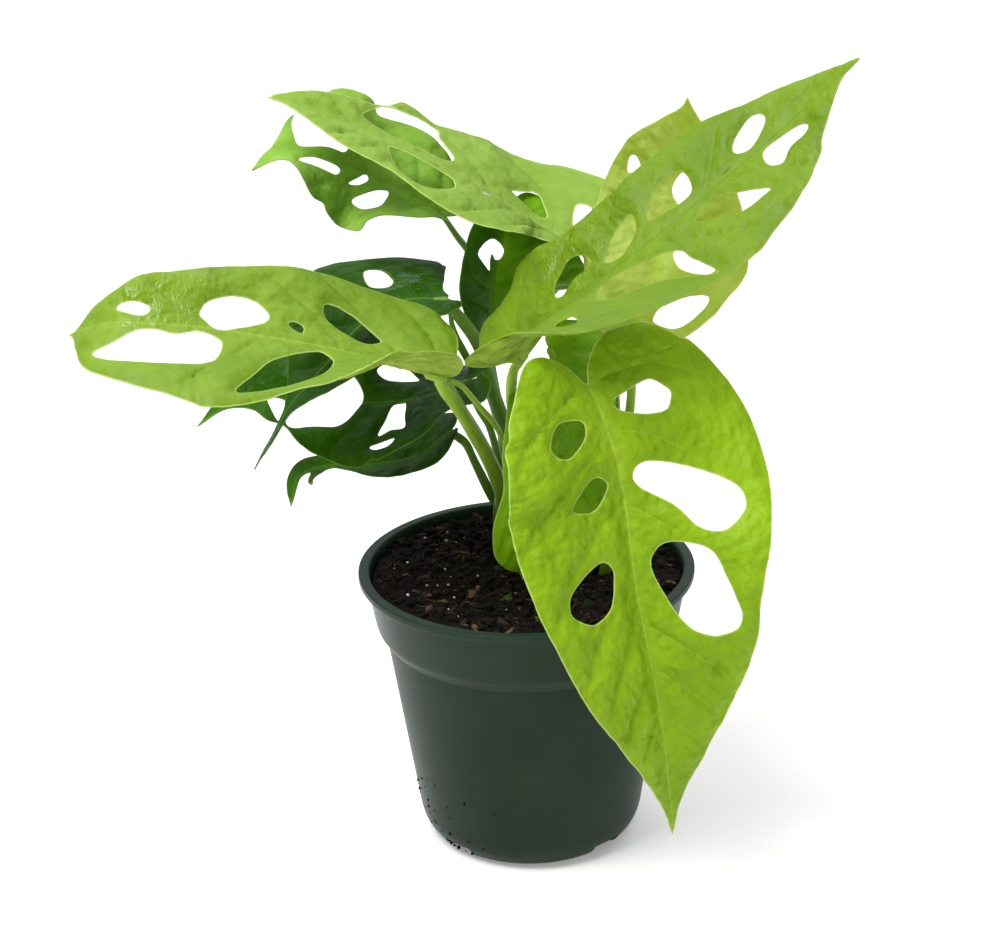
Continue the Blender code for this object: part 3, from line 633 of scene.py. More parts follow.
def even_loop(loop, seed, wander):
    """The closed loop with even spacing, and a slight natural wander of its line."""
    closed = np.vstack([loop, loop[:1]])
    at = distances_along(closed)
    count = max(8, int(round(at[-1] / EDGE_STEP)))
    even = between(np.linspace(0, at[-1], count, endpoint=False), at, closed)
    run = np.roll(even, -1, axis=0) - np.roll(even, 1, axis=0)
    out = unit(np.stack([run[:, 1], -run[:, 0]], -1))
    return even + out * (wander * noise_at(even, WANDER_SIZE, seed))[:, None]


def blade_outlines(blade, seed):
    """The margin of a blade, then its holes, as closed lines on the pattern."""
    tip = (blade.tip, 0)
    right, left = (smooth_line([(0, 0), *half, tip], MARGIN_STEPS) for half in (blade.right, blade.left))
    margin = even_loop(np.vstack([right[:-1], left[:0:-1] * (1, -1)]), seed, MARGIN_WANDER)
    holes = map(hole_outline, blade.holes)
    return [margin] + [even_loop(hole, seed + 5 * k + 3, HOLE_WANDER) for k, hole in enumerate(holes)]


def inside_loop(points, loop):
    """Which points lie inside the closed loop."""
    x, y = points.T
    found = np.zeros(len(points), bool)
    for (x0, y0), (x1, y1) in zip(loop, np.roll(loop, -1, axis=0)):
        crosses = (y0 > y) != (y1 > y)
        reach = x0 + (y - y0) * (x1 - x0) / np.where(y1 == y0, 1e-9, y1 - y0)
        found ^= crosses & (x < reach)
    return found


def inside_sheet(points, loops):
    """Which points lie inside the margin and outside every hole."""
    margin, *holes = (inside_loop(points, loop) for loop in loops)
    for hole in holes:
        margin &= ~hole
    return margin


def search_tree(points):
    tree = KDTree(len(points))
    for i, point in enumerate(points):
        tree.insert((*point, 0.0), i)
    tree.balance()
    return tree


def distance_to_lines(points, loops):
    """How far each point of the pattern is from the nearest edge."""
    shares = (0, 0.25, 0.5, 0.75)
    fine = [loop + (np.roll(loop, -1, axis=0) - loop) * share for loop in loops for share in shares]
    tree = search_tree(np.vstack(fine))
    return np.array([tree.find((*point, 0.0))[2] for point in points])


def sheet_grid(loops, length):
    """Staggered points inside the sheet, clear of its edges and of the midrib."""
    reach = np.abs(loops[0][:, 1]).max() + SHEET_STEP
    rows = []
    for row, along in enumerate(np.arange(-LOBE_SHARE * length, length, SHEET_STEP * math.sqrt(3) / 2)):
        across = np.arange(-reach, reach, SHEET_STEP) + SHEET_STEP / 2 * (row % 2)
        rows.append(np.stack([np.full(len(across), along), across], -1))
    grid = np.vstack(rows)
    grid = grid[inside_sheet(grid, loops)]
    spare = SHEET_STEP * SPARE_SHARE
    grid = grid[distance_to_lines(grid, loops) > spare]
    return grid[np.abs(grid[:, 1]) > spare]


def blade_pattern(blade, length, seed):
    """The flat pattern of a blade: points, triangles that leave the holes open, and the edge loops."""
    loops = blade_outlines(blade, seed)
    points, edges = [], []
    for loop in loops:
        edges += [(len(points) + i, len(points) + (i + 1) % len(loop)) for i in range(len(loop))]
        points += loop.tolist()
    points += [(along, 0.0) for along in np.arange(SHEET_STEP, length - SHEET_STEP / 2, SHEET_STEP)]
    points += sheet_grid(loops, length).tolist()
    made = delaunay_2d_cdt([Vector(p) for p in points], edges, [], 0, 1e-6)
    flat = np.array([tuple(p) for p in made[0]])
    faces = np.array([face for face in made[2] if len(face) == 3])
    faces = faces[inside_sheet(flat[faces].mean(1), loops)]
    used, faces = np.unique(faces, return_inverse=True)
    return flat[used], faces.reshape(-1, 3), loops


def turned_up(blade, surface, flat, margin, points, normals):
    """The points of the sheet after each curl turns its strip of the margin up."""
    ahead = np.roll(margin, -1, axis=0)
    tree = search_tree(margin)
    moved = points.copy()
    for side, start, end, width, turn in blade.curls:
        fade = CURL_FADE * (end - start)
        final = math.radians(turn)
        for i, p in enumerate(flat):
            near, j, gap = tree.find((*p, 0.0))
            window = soft_step(p[0], start, start + fade) * (1 - soft_step(p[0], end - fade, end))
            depth = width * float(window) - gap
            if p[1] * side <= 0 or depth <= 0:
                continue
            out = np.array(near[:2]) - p
            if gap <= CURL_NEAR:
                run = ahead[j] - margin[j - 1]
                out = np.array((run[1], -run[0]))
            beyond, here = surface.points([p + unit(out) * CURL_PROBE, p])
            bend = min(depth / CURL_RADIUS, final)
            rest = max(depth - CURL_RADIUS * final, 0.0)
            reach = CURL_RADIUS * math.sin(bend) + rest * math.cos(final)
            rise = CURL_RADIUS * (1 - math.cos(bend)) + rest * math.sin(final)
            moved[i] += unit(beyond - here) * (reach - depth) + normals[i] * rise
    return moved


# Veins


def vein_start(along, across, length):
    """Where the lateral vein through a point leaves the midrib. Below 0 it fans into the lobe."""
    reach = np.abs(across)
    lead = VEIN_LEAN * reach + VEIN_CURVE * reach**2
    start = (along - lead) / (1 + VEIN_SWEEP * reach / length)
    fan = -np.arctan2(lead - along, reach + 1e-6) * VEIN_FAN
    return np.where(along < lead, fan, start)


def vein_rows(blade, length, side):
    """Where lateral veins leave the midrib on this side, set so that they pass between the holes."""
    gap = length / VEIN_COUNT
    middles = [np.mean(hole, axis=0) for hole in blade.holes]
    starts = sorted(float(vein_start(x, y, length)) for x, y in middles if y * side > 0)
    groups = []
    for start in starts:
        if groups and start - groups[-1][-1] < gap / 2:
            groups[-1].append(start)
        else:
            groups.append([start])
    centres = [sum(group) / len(group) for group in groups]
    rows = [(a + b) / 2 for a, b in zip(centres, centres[1:])]
    if centres:
        rows = [centres[0] - VEIN_BESIDE * gap] + rows + [centres[-1] + VEIN_BESIDE * gap]
    else:
        rows = [0.45 * length]
    while rows[0] > -VEIN_FAN * 1.2:
        rows.insert(0, rows[0] - gap)
    while rows[-1] < length:
        rows.append(rows[-1] + gap * 0.85)
    return rows


def vein_count_at(blade, length, flat):
    """A number that is whole on each lateral vein, and the millimetres for each step of it."""
    both = [vein_rows(blade, length, side) for side in (1, -1)]

    def count(along, across):
        start = vein_start(along, across, length)
        right, left = (np.interp(start, rows, np.arange(len(rows))) for rows in both)
        return np.where(across > 0, right, left)

    along, across = flat.T
    here = count(along, across)
    small = 0.05
    rise = (count(along + small, across) - here) / small
    side = (count(along, across + np.sign(across) * small) - here) / small
    gap = 1 / np.maximum(np.hypot(rise, side), 0.01)
    return here, np.minimum(gap, 60.0)


# Meshes


def new_object(name, points, faces, material):
    mesh = bpy.data.meshes.new(name)
    verts = np.asarray(points, float) * MM
    mesh.from_pydata(verts.tolist(), [], [tuple(int(i) for i in face) for face in faces])
    mesh.update()
    obj = bpy.data.objects.new(name, mesh)
    bpy.context.scene.collection.objects.link(obj)
    mesh.materials.append(material)
    mesh.shade_smooth()
    mesh.set_sharp_from_angle(angle=SMOOTH_ANGLE)
    return obj


def keep(obj, name, values):
    """Store a number or a vector for each vertex, for the material to read."""
    values = np.asarray(values, np.float32)
    kind, field = ("FLOAT", "value") if values.ndim == 1 else ("FLOAT_VECTOR", "vector")
    obj.data.attributes.new(name, kind, "POINT").data.foreach_set(field, values.ravel())


def settle(obj, slot, *nodes):
    """The piece rides on the one body and stands for its solids, which are hidden. slot is not used."""
    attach(obj, "root")
    if nodes:
        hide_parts(*nodes)


def surface_normals(points, faces):
    corner = points[faces]
    cross = np.cross(corner[:, 1] - corner[:, 0], corner[:, 2] - corner[:, 0])
    normals = np.zeros_like(points)
    for i in range(3):
        np.add.at(normals, faces[:, i], cross)
    return unit(normals)


def blade_relief(blade, length, flat, edge, veins, seed):
    """How far the sheet stands above its plain surface, in millimetres."""
    look = blade.look
    along, across = flat.T
    reach = np.abs(across)
    count, gap = veins
    off = np.abs(count - np.round(count))
    inner = soft_step(edge, 0.0, 5.0)
    swell = np.sin(np.pi * np.clip(off, 0, 0.5)) ** 0.8 * soft_step(reach, 1.0, 7.0) * inner
    groove = bell(off * gap, 0.8) * soft_step(reach, 0.5, 3.0) * soft_step(edge, 0.5, 6.0)
    rib_groove = bell(reach, 1.3) * (1 - 0.6 * along / length)
    lumps = noise_at(flat, 7.0, seed + 0.5) * soft_step(reach, 0.5, 5.0) * inner
    ripples = noise_at(flat, 3.1, seed + 9.5) * soft_step(reach, 0.5, 4.0)
    wave = noise_at(flat, 17.0, seed + 3.5) * np.exp(-edge / 7.0)
    relief = look.swell * swell - look.groove * groove - 0.45 * rib_groove
    relief += look.lumps * (0.5 * lumps + 0.2 * ripples) + look.wave * wave
    for side, start, end, _, _ in blade.curls:
        in_curl = soft_step(along, start - 20, start) * (1 - soft_step(along, end - 5, end + 10))
        relief *= 1 - 0.8 * in_curl * (across * side > 0)
    return relief - RIM_DROP * np.exp(-edge / 0.9)


def two_sided(faces, total):
    """The faces of both skins of a sheet and of its rim. The lower skin's points follow the upper's."""
    edges = {(face[i], face[(i + 1) % 3]): None for face in faces.tolist() for i in range(3)}
    shell = [tuple(face) for face in faces] + [tuple(face[::-1] + total) for face in faces]
    return shell + [(b, a, a + total, b + total) for a, b in edges if (b, a) not in edges]


def build_blade(blade, material, seed):
    surface = BladeSurface(blade)
    length = surface.length
    flat, faces, loops = blade_pattern(blade, length, seed)
    edge = distance_to_lines(flat, loops)
    veins = vein_count_at(blade, length, flat)
    middle = surface.points(flat)
    normals = surface_normals(middle, faces)
    if (normals @ facing_vectors(blade.facing)[1]).sum() < 0:
        faces = faces[:, ::-1]
        normals = -normals
    middle = turned_up(blade, surface, flat, loops[0], middle, normals)
    relief = blade_relief(blade, length, flat, edge, veins, seed)
    middle = middle + surface_normals(middle, faces) * relief[:, None]
    normals = surface_normals(middle, faces)
    share = np.clip(flat[:, 0] / length, 0, 1)
    thick = THIN + THICKER * (1 - np.exp(-edge / 0.7))
    rib = bell(np.abs(flat[:, 1]), 1.25 - 0.75 * share) * (1.15 - 0.95 * share) * (flat[:, 0] > 0)
    count, gap = veins
    ridge = RIDGE * bell(np.abs(count - np.round(count)) * gap, 0.7) * soft_step(edge, 0.5, 6.0)
    upper = middle + normals * (thick / 2)[:, None]
    lower = middle - normals * (thick / 2 + rib + ridge)[:, None]
    total = len(middle)
    obj = new_object("blade_" + blade.name, np.vstack([upper, lower]), two_sided(faces, total), material)
    keep(obj, "pattern", np.tile(np.c_[flat, np.full(total, seed * 31.0)], (2, 1)))
    for name, values in (("edge_mm", edge), ("vein_count", count), ("vein_gap", gap), ("along", share)):
        keep(obj, name, np.tile(values, 2))
    keep(obj, "under", np.arange(2).repeat(total))
    settle(obj, blade.look.slot, "leaf_" + blade.name)


def square_to(side, tangent):
    """The direction nearest to side that stands square to the tangent."""
    return unit(side - tangent * (side @ tangent))


def neighbours(sides):
    """Each place round a ring with the next one."""
    return [(i, (i + 1) % sides) for i in range(sides)]


def tube_faces(rings, sides, first=0):
    """The faces of a tube of this many rings of points, closed at both ends."""
    last = first + (rings - 1) * sides
    faces = []
    for a in range(first, last, sides):
        b = a + sides
        faces += [(a + i, a + j, b + j, b + i) for i, j in neighbours(sides)]
    return faces + [tuple(range(first, first + sides))[::-1], tuple(range(last, last + sides))]


def build_stalk(name, points, radii, shape, up, material, slot, *nodes):
    """A stalk along a smooth line. radii: its radius at even stations. shape: (flatness, groove, wings)."""
    line = smooth_line(points, STALK_STEPS)
    at = distances_along(line)
    share = at / at[-1]
    radius = np.interp(share, np.linspace(0, 1, len(radii)), radii)
    tangent = unit(np.gradient(line, at, axis=0))
    tops = [square_to(np.asarray(up, float), tangent[-1])]
    for along in tangent[::-1]:
        tops.append(square_to(tops[-1], along))
    theta = np.linspace(0, FULL_TURN, STALK_SIDES, endpoint=False)
    flatness, groove, wings = shape
    from_top = np.abs((theta - math.pi / 2 + math.pi) % FULL_TURN - math.pi)
    form = 1 - groove * bell(from_top, 0.45) + wings * bell(from_top - 0.85, 0.3)
    rings = []
    for i, top in enumerate(tops[:0:-1]):
        r = radius[i] * (1 + 0.05 * noise.noise(Vector((at[i] / 9.0, radius[i], len(name))))) * form
        across = np.outer(r * np.cos(theta), np.cross(tangent[i], top))
        rings.append(line[i] + across + np.outer(r * np.sin(theta) * flatness, top))
    low = (rings[0] + line[0] - tangent[0] * radius[0]) / 2
    high = (rings[-1] + line[-1] + tangent[-1] * radius[-1]) / 2
    rings = [low] + rings + [high]
    obj = new_object(name, np.vstack(rings), tube_faces(len(rings), STALK_SIDES), material)
    along = np.r_[0, share, 1].repeat(STALK_SIDES)
    keep(obj, "along", along)
    keep(obj, "pattern", np.c_[np.r_[0, at, at[-1]].repeat(STALK_SIDES), np.tile(theta, len(rings)), along])
    settle(obj, slot, *nodes)


# Pot and soil


def build_lathe(name, profile, sides, material):
    """A solid of revolution from a closed profile of (radius, height)."""
    verts, rows = [], []
    for radius, height in profile:
        count = sides if radius else 1
        rows.append([len(verts) + i % count for i in range(sides)])
        verts += [(*around(FULL_TURN * i / sides, radius), height) for i in range(count)]
    faces = []
    for row, following in zip(rows, rows[1:]):
        for i, j in neighbours(sides):
            corners = dict.fromkeys((row[i], following[i], following[j], row[j]))
            faces.append(tuple(corners)[::-1])
    return new_object(name, verts, faces, material)


def rounded(points, steps, offset=(0, 0)):
    return [tuple(p) for p in smooth_line(np.add(points, offset), steps)]


def pot_profile():
    """The pot's outline as (radius, height), from the middle of its underside round to its floor."""
    lip_low = POT_HEIGHT - LIP_THICK
    band = BAND_TOP[0]
    outside = rounded(FOOT_CURVE + [WALL_LOW], 6) + rounded([SHOULDER_START, WALL_HIGH] + SHOULDER, 5)
    outside += rounded([(0.2, -1.2), (0.7, -0.2), (1.4, 0)], 4, (band, lip_low))
    lip = [(-0.7, -LIP_THICK), (-0.15, 0.2 - LIP_THICK), (0, 0.7 - LIP_THICK)]
    outside += rounded(lip + [(0, -0.7), (-0.2, -0.15), (-0.8, 0)], 4, (LIP_RADIUS, POT_HEIGHT))
    outside += rounded([(0.3, 0), (-0.4, -0.15), (-1.0, -1.0)], 4, (band, POT_HEIGHT))
    wall = [WALL_LOW, WALL_HIGH] + SHOULDER + [BAND_TOP]
    inside = [(radius - POT_WALL, height) for radius, height in wall[::-1]]
    inside += [(FOOT_CURVE[3][0] - POT_WALL, FOOT_CURVE[3][1] + 0.8), (FOOT_CURVE[1][0], POT_FLOOR)]
    return [(0, 0)] + outside + inside + [(0, POT_FLOOR)]


def drain_cutter(index, material):
    """A block that notches the pot's bottom corner."""
    turn = math.radians(DRAIN_TURN + 360 * index / DRAIN_COUNT)
    radial, width, height = DRAIN_SIZE
    c, s = math.cos(turn), math.sin(turn)
    verts = []
    for z in (DRAIN_BELOW, height + DRAIN_BELOW):
        for x, y in ((-1, -1), (1, -1), (1, 1), (-1, 1)):
            out, y = DRAIN_RADIUS + x * radial / 2, y * width / 2
            verts.append((out * c - y * s, out * s + y * c, z))
    faces = [(3, 2, 1, 0), (4, 5, 6, 7), (0, 1, 5, 4), (1, 2, 6, 5), (2, 3, 7, 6), (3, 0, 4, 7)]
    return new_object(f"cutter_{index}", verts, faces, material)


def build_pot(material):
    pot = build_lathe("pot_shell", pot_profile(), POT_SIDES, material)
    cutters = [drain_cutter(index, material) for index in range(DRAIN_COUNT)]
    for cutter in cutters:
        modifier = pot.modifiers.new(cutter.name, "BOOLEAN")
        modifier.operation = "DIFFERENCE"
        modifier.solver = "EXACT"
        modifier.object = cutter
    bpy.context.view_layer.update()
    made = bpy.data.meshes.new_from_object(pot.evaluated_get(bpy.context.evaluated_depsgraph_get()))
    pot.modifiers.clear()
    pot.data = made
    made.name = "pot_shell"
    made.set_sharp_from_angle(angle=SMOOTH_ANGLE)
    for cutter in cutters:
        bpy.data.objects.remove(cutter, do_unlink=True)
    settle(pot, "pot_green", "pot")


def soil_height(x, y):
    """The height of the soil at a point: clods, ridges and crumbs, and a bank towards the wall."""
    clods, ridges, *crumbs = (
        most * noise.noise(Vector((x, y, 0.0)) / size + Vector(shift)) for most, size, shift in CLODS
    )
    bank = min(1.0, max(0.0, (math.hypot(x, y) - BANK_START) / BANK_REACH))
    return SOIL_TOP + clods + abs(ridges) + sum(crumbs) + BANK_HEIGHT * bank * bank


def build_soil(material):
    """The top of the soil as a fine rough bed, and a plain root ball under it."""
    verts = [(0.0, 0.0, soil_height(0, 0))]
    for ring in range(1, SOIL_RINGS + 1):
        radius = SOIL_RADIUS * ring / SOIL_RINGS
        drop = 0.6 * max(0.0, radius - SOIL_EDGE)
        for i in range(SOIL_SIDES):
            x, y = around(FULL_TURN * (i + 0.5 * (ring % 2)) / SOIL_SIDES, radius)
            verts.append((x, y, soil_height(x, y) - drop))
    for radius, height in ROOT_BALL:
        verts += [(*around(FULL_TURN * i / SOIL_SIDES, radius), height) for i in range(SOIL_SIDES)]
    last = len(verts) - SOIL_SIDES
    verts.append((0.0, 0.0, ROOT_BALL_END))
    turns = neighbours(SOIL_SIDES)
    faces = [(0, 1 + i, 1 + j) for i, j in turns]
    for a in range(1, last, SOIL_SIDES):
        b = a + SOIL_SIDES
        faces += [(a + i, b + i, b + j, a + j) for i, j in turns]
    faces += [(last + i, last + SOIL_SIDES, last + j) for i, j in turns]
    settle(new_object("soil_bed", verts, faces, material), "soil_brown", "soil")


def lump_shape(level):
    """The points and triangles of a ball, for crumbs."""
    work = bmesh.new()
    bmesh.ops.create_icosphere(work, subdivisions=level, radius=1.0)
    points = np.array([tuple(v.co) for v in work.verts])
    faces = np.array([[v.index for v in f.verts] for f in work.faces])
    work.free()
    return points, faces


def soil_spot(random, margin):
    """A point of the soil, at least this far from its rim."""
    turn = random.uniform(0, FULL_TURN)
    return around(turn, math.sqrt(random.uniform(0, 1)) * (SOIL_RADIUS - margin))


def wall_spot(random):
    """A point low on the outside of the pot, where a little soil has dried on."""
    turn = math.radians(random.normal(214, 14))
    height = 1.2 + 28.0 * random.uniform(0, 1) ** 2.2
    radii, heights = zip(*(FOOT_CURVE + [WALL_LOW, WALL_HIGH]))
    return (*around(turn, float(np.interp(height, heights, radii))), height)


def moss_spot(random):
    x, y, spread = MOSS_SPOTS[random.randint(len(MOSS_SPOTS))]
    return x + random.normal() * spread / 2, y + random.normal() * spread / 2


def scatter(lumps):
    """Many small lumps as one mesh."""
    random = np.random.RandomState(lumps.seed)
    ball, tris = lump_shape(lumps.level)
    smallest, largest = lumps.sizes
    verts, faces, tone = [], [], []
    for made in range(lumps.count):
        x, y = soil_spot(random, 1.5)
        height = []
        if lumps.spot:
            x, y, *height = lumps.spot(random)
        size = smallest + (largest - smallest) * random.uniform(0, 1) ** 2.5
        scale = np.array(lumps.squash) * random.uniform(0.75, 1.25, 3) * size
        shift = random.uniform(-50, 50, 3)
        bumps = np.array([noise.noise(Vector(p * 1.6 + shift)) for p in ball])
        shape = ball * (1 + lumps.rough * bumps)[:, None] * scale
        axis = Vector(random.normal(size=3))
        tilt = Matrix.Rotation(random.uniform(0, 0.7), 3, axis)
        turned = tilt @ Matrix.Rotation(random.uniform(0, FULL_TURN), 3, "Z")
        z = height[0] if height else soil_height(x, y) + scale[2] * random.uniform(-0.1, 0.55)
        faces.append(tris + len(ball) * made)
        verts.append(shape @ np.array(turned).T + (x, y, z))
        tone += [random.uniform(*lumps.tones)] * len(ball)
    material = crumb_material(lumps.name, *lumps.colours)
    obj = new_object(lumps.name, np.vstack(verts), np.vstack(faces), material)
    keep(obj, "tone", tone)
    settle(obj, "soil_brown")


def fibre_line(random):
    """The wandering line of one fibre that lies on the soil."""
    x, y = soil_spot(random, 6)
    heading = random.uniform(0, FULL_TURN)
    step = random.uniform(2.5, 9.0) / FIBRE_STEPS
    line = []
    for _ in range(FIBRE_STEPS):
        line.append((x, y, soil_height(x, y) + 0.25 + random.uniform(0, 0.5)))
        heading += random.normal() * 0.35
        x += math.cos(heading) * step
        y += math.sin(heading) * step
        inward = min(1.0, (SOIL_RADIUS - 1) / math.hypot(x, y))
        x, y = x * inward, y * inward
    return smooth_line(line, 3)


def build_fibres(material, count, seed):
    """Thin bent fibres and rootlets lying on the soil, as one mesh."""
    random = np.random.RandomState(seed)
    verts, faces, tone = [], [], []
    for _ in range(count):
        line = fibre_line(random)
        radius = random.uniform(0.10, 0.26)
        faces += tube_faces(len(line), FIBRE_SIDES, len(verts))
        for i, (centre, along) in enumerate(zip(line, unit(np.gradient(line, axis=0)))):
            side = square_to(np.array((0.0, 0.0, 1.0)), along)
            other = np.cross(along, side)
            end = min(1.0, 0.35 + 2 * min(i, len(line) - 1 - i) / len(line))
            for a in range(FIBRE_SIDES):
                c, s = around(FULL_TURN * a / FIBRE_SIDES, radius * end)
                verts.append(centre + c * side + s * other)
        tone += [random.uniform(0.35, 1.0)] * (len(line) * FIBRE_SIDES)
    obj = new_object("soil_fibres", verts, faces, material)
    keep(obj, "tone", tone)
    settle(obj, "soil_brown")


# Materials


def node_colour(red, green, blue):
    """A colour given as 0 to 255 on screen, as a node takes it."""
    shares = [value / 255 for value in (red, green, blue)]
    return tuple(s / 12.92 if s <= 0.04045 else ((s + 0.055) / 1.055) ** 2.4 for s in shares) + (1.0,)


class Nodes:
    """A short way to build a material's node tree."""

    def __init__(self, name):
        self.material = bpy.data.materials.new(name)
        self.material.use_nodes = True
        self.tree = self.material.node_tree
        self.tree.nodes.clear()

    def add(self, kind, inputs=(), **settings):
        node = self.tree.nodes.new("ShaderNode" + kind)
        for key, value in settings.items():
            setattr(node, key, value)
        for key, value in dict(inputs).items():
            socket = node.inputs[key]
            if isinstance(value, bpy.types.NodeSocket):
                self.tree.links.new(value, socket)
            elif socket.type == "RGBA" and len(value) == 3:
                socket.default_value = node_colour(*value)
            else:
                socket.default_value = value
        return node

    def place(self):
        return self.add("TexCoord").outputs["Object"]

    def stored(self, name, output="Fac"):
        return self.add("Attribute", attribute_name=name).outputs[output]

    def part(self, vector, axis):
        return self.add("SeparateXYZ", {"Vector": vector}).outputs[axis]

    def maths(self, operation, *values):
        return self.add("Math", dict(enumerate(values)), operation=operation).outputs[0]

    def plus(self, first, *others):
        for other in others:
            first = self.maths("ADD", first, other)
        return first

    def times(self, first, *others):
        for other in others:
            first = self.maths("MULTIPLY", first, other)
        return first

    def vectors(self, operation, a, b):
        return self.add("VectorMath", {0: a, 1: b}, operation=operation).outputs

    def ramp(self, value, low, high, to_low=0.0, to_high=1.0):
        """The value carried smoothly from low..high to to_low..to_high."""
        inputs = {"Value": value, "From Min": low, "From Max": high, "To Min": to_low, "To Max": to_high}
        return self.add("MapRange", inputs, interpolation_type="SMOOTHSTEP").outputs["Result"]

    def noise(self, vector, scale, detail=2.0, roughness=0.5):
        inputs = {"Vector": vector, "Scale": scale, "Detail": detail, "Roughness": roughness}
        return self.add("TexNoise", inputs).outputs["Fac"]

    def scaled(self, vector, scale):
        return self.add("Mapping", {"Vector": vector, "Scale": scale}).outputs[0]

    def mix(self, share, a, b):
        return self.add("Mix", {0: share, 6: a, 7: b}, data_type="RGBA").outputs[2]

    def tinted(self, colour, *layers):
        """The colour under layers of (value, low, high, most, tint). As the value goes from low to high, the
        share of the tint goes from nothing to most."""
        for value, low, high, most, tint in layers:
            colour = self.mix(self.ramp(value, low, high, 0.0, most), colour, tint)
        return colour

    def bump(self, height, distance, strength=1.0):
        inputs = {"Height": height, "Distance": distance, "Strength": strength}
        return self.add("Bump", inputs).outputs["Normal"]

    def surface(self, colour, rough, normal, shine):
        inputs = {"Base Color": colour, "Roughness": rough, "Normal": normal, "Specular IOR Level": shine}
        return self.add("BsdfPrincipled", inputs).outputs[0]

    def finish(self, shader):
        self.add("OutputMaterial", {"Surface": shader})
        return self.material


def leaf_material(look):
    n = Nodes("leaf_" + look.kind)
    pattern = n.stored("pattern", "Vector")
    across = n.part(pattern, "Y")
    along, edge, under, count, gap = map(n.stored, ("along", "edge_mm", "under", "vein_count", "vein_gap"))
    reach = n.maths("ABSOLUTE", across)
    from_vein = n.times(n.maths("PINGPONG", count, 0.5), gap)
    from_rib = n.plus(reach, n.times(along, 0.35))
    patchy = n.noise(pattern, 0.13, 3.0)
    puckers = n.noise(pattern, 0.18, 1.0, 0.45)
    fine = n.noise(pattern, 1.1, 3.0, 0.6)
    cells = n.add("TexVoronoi", {"Vector": pattern, "Scale": 0.4}, feature="DISTANCE_TO_EDGE")
    net = n.ramp(cells.outputs["Distance"], 0.1, 0.02)

    # Mottling, painted light and shade on the puckers and on one half, painted shade beside the veins, then
    # the veins and the rim
    colour = n.tinted(
        n.mix(n.ramp(n.noise(pattern, 0.04), 0.33, 0.67), look.dark, look.light),
        (patchy, 0.4, 0.75, 0.3, look.dark),
        (patchy, 0.45, 0.25, 0.25, look.light),
        # Painted shade in the hollows of the puckers and painted light on their crests, following the puckers
        # that the bump below raises
        (puckers, 0.52, 0.3, 0.3, look.dark),
        (puckers, 0.55, 0.75, 0.25, look.light),
        # Painted light on the right half, by the share the look gives it
        (across, 0.0, 1.5, look.fresh, look.vein),
        (fine, 0.55, 0.8, 0.14, look.vein),
    )
    # Painted shade: the blade darkens within a few millimetres of its lateral veins, where their grooves
    # would lie in shade
    painted_vein_shade = n.times(n.ramp(from_vein, 3.5, 0.7, 0.0, 0.2), n.ramp(edge, 1.0, 6.0))
    colour = n.mix(n.times(net, 0.04), n.mix(painted_vein_shade, colour, look.dark), look.vein)
    line = n.ramp(from_vein, 0.55, 0.1, 0.0, look.vein_share)
    line = n.times(line, n.ramp(edge, 0.6, 7.0), n.ramp(reach, 0.6, 1.6))
    colour = n.tinted(
        n.mix(line, colour, look.vein),
        (from_rib, 4.5, 0.8, 0.22, look.vein),
        (from_rib, 0.8, 0.3, look.rib_share, look.rib),
        (edge, 0.5, 0.15, look.edge_share, look.edge),
    )
    below = n.mix(n.ramp(patchy, 0.3, 0.7), look.below, colour)
    colour = n.mix(n.times(under, 0.8), colour, below)

    # The crinkled, glossy patch
    x, y, radius = look.gloss
    flat = n.vectors("MULTIPLY", pattern, (1.0, 1.0, 0.0))[0]
    spot = n.vectors("DISTANCE", flat, (x, y, 0.0))["Value"]
    ragged = n.plus(spot, n.times(n.plus(patchy, -0.5), radius * 1.2))
    gloss = n.times(n.ramp(ragged, radius * 0.9, radius * 0.55), n.maths("SUBTRACT", 1.0, under))
    crinkle = n.noise(n.scaled(pattern, (1.0, 0.45, 0.0)), 0.7, 3.0)

    height = n.plus(
        n.times(fine, 0.15), n.times(net, -0.1), n.times(n.noise(pattern, 0.36, 1.0), 2.0),
        n.times(puckers, 3.5), n.times(crinkle, gloss, 2.6),
    )
    rough = n.plus(
        n.ramp(n.noise(pattern, 0.12, 3.0, 0.6), 0.3, 0.7, look.rough - 0.06, look.rough + 0.08),
        n.times(under, 0.12), n.times(gloss, 0.17 - look.rough),
    )
    face = n.surface(colour, rough, n.bump(height, 0.0002 * look.lumps), look.shine)
    through = n.add("BsdfTranslucent", {"Color": n.mix(0.55, colour, look.through)}).outputs[0]
    return n.finish(n.add("MixShader", {0: look.glow, 1: face, 2: through}).outputs[0])


def stalk_material(name, low, high, shade):
    """A smooth stalk: low is its colour at the soil, high at the blade, shade in its streaks."""
    n = Nodes(name)
    pattern = n.stored("pattern", "Vector")
    streaks = n.noise(n.scaled(pattern, (0.12, 2.2, 3.0)), 1.0, 3.0, 0.6)
    colour = n.tinted(
        n.mix(n.ramp(n.stored("along"), 0.1, 0.95), low, high),
        (streaks, 0.45, 0.75, 0.55, shade),
        (n.noise(pattern, 0.25), 0.55, 0.8, 0.3, shade),
    )
    normal = n.bump(n.plus(streaks, n.noise(pattern, 1.5)), 0.00015, 0.6)
    return n.finish(n.surface(colour, 0.45, normal, 0.25))


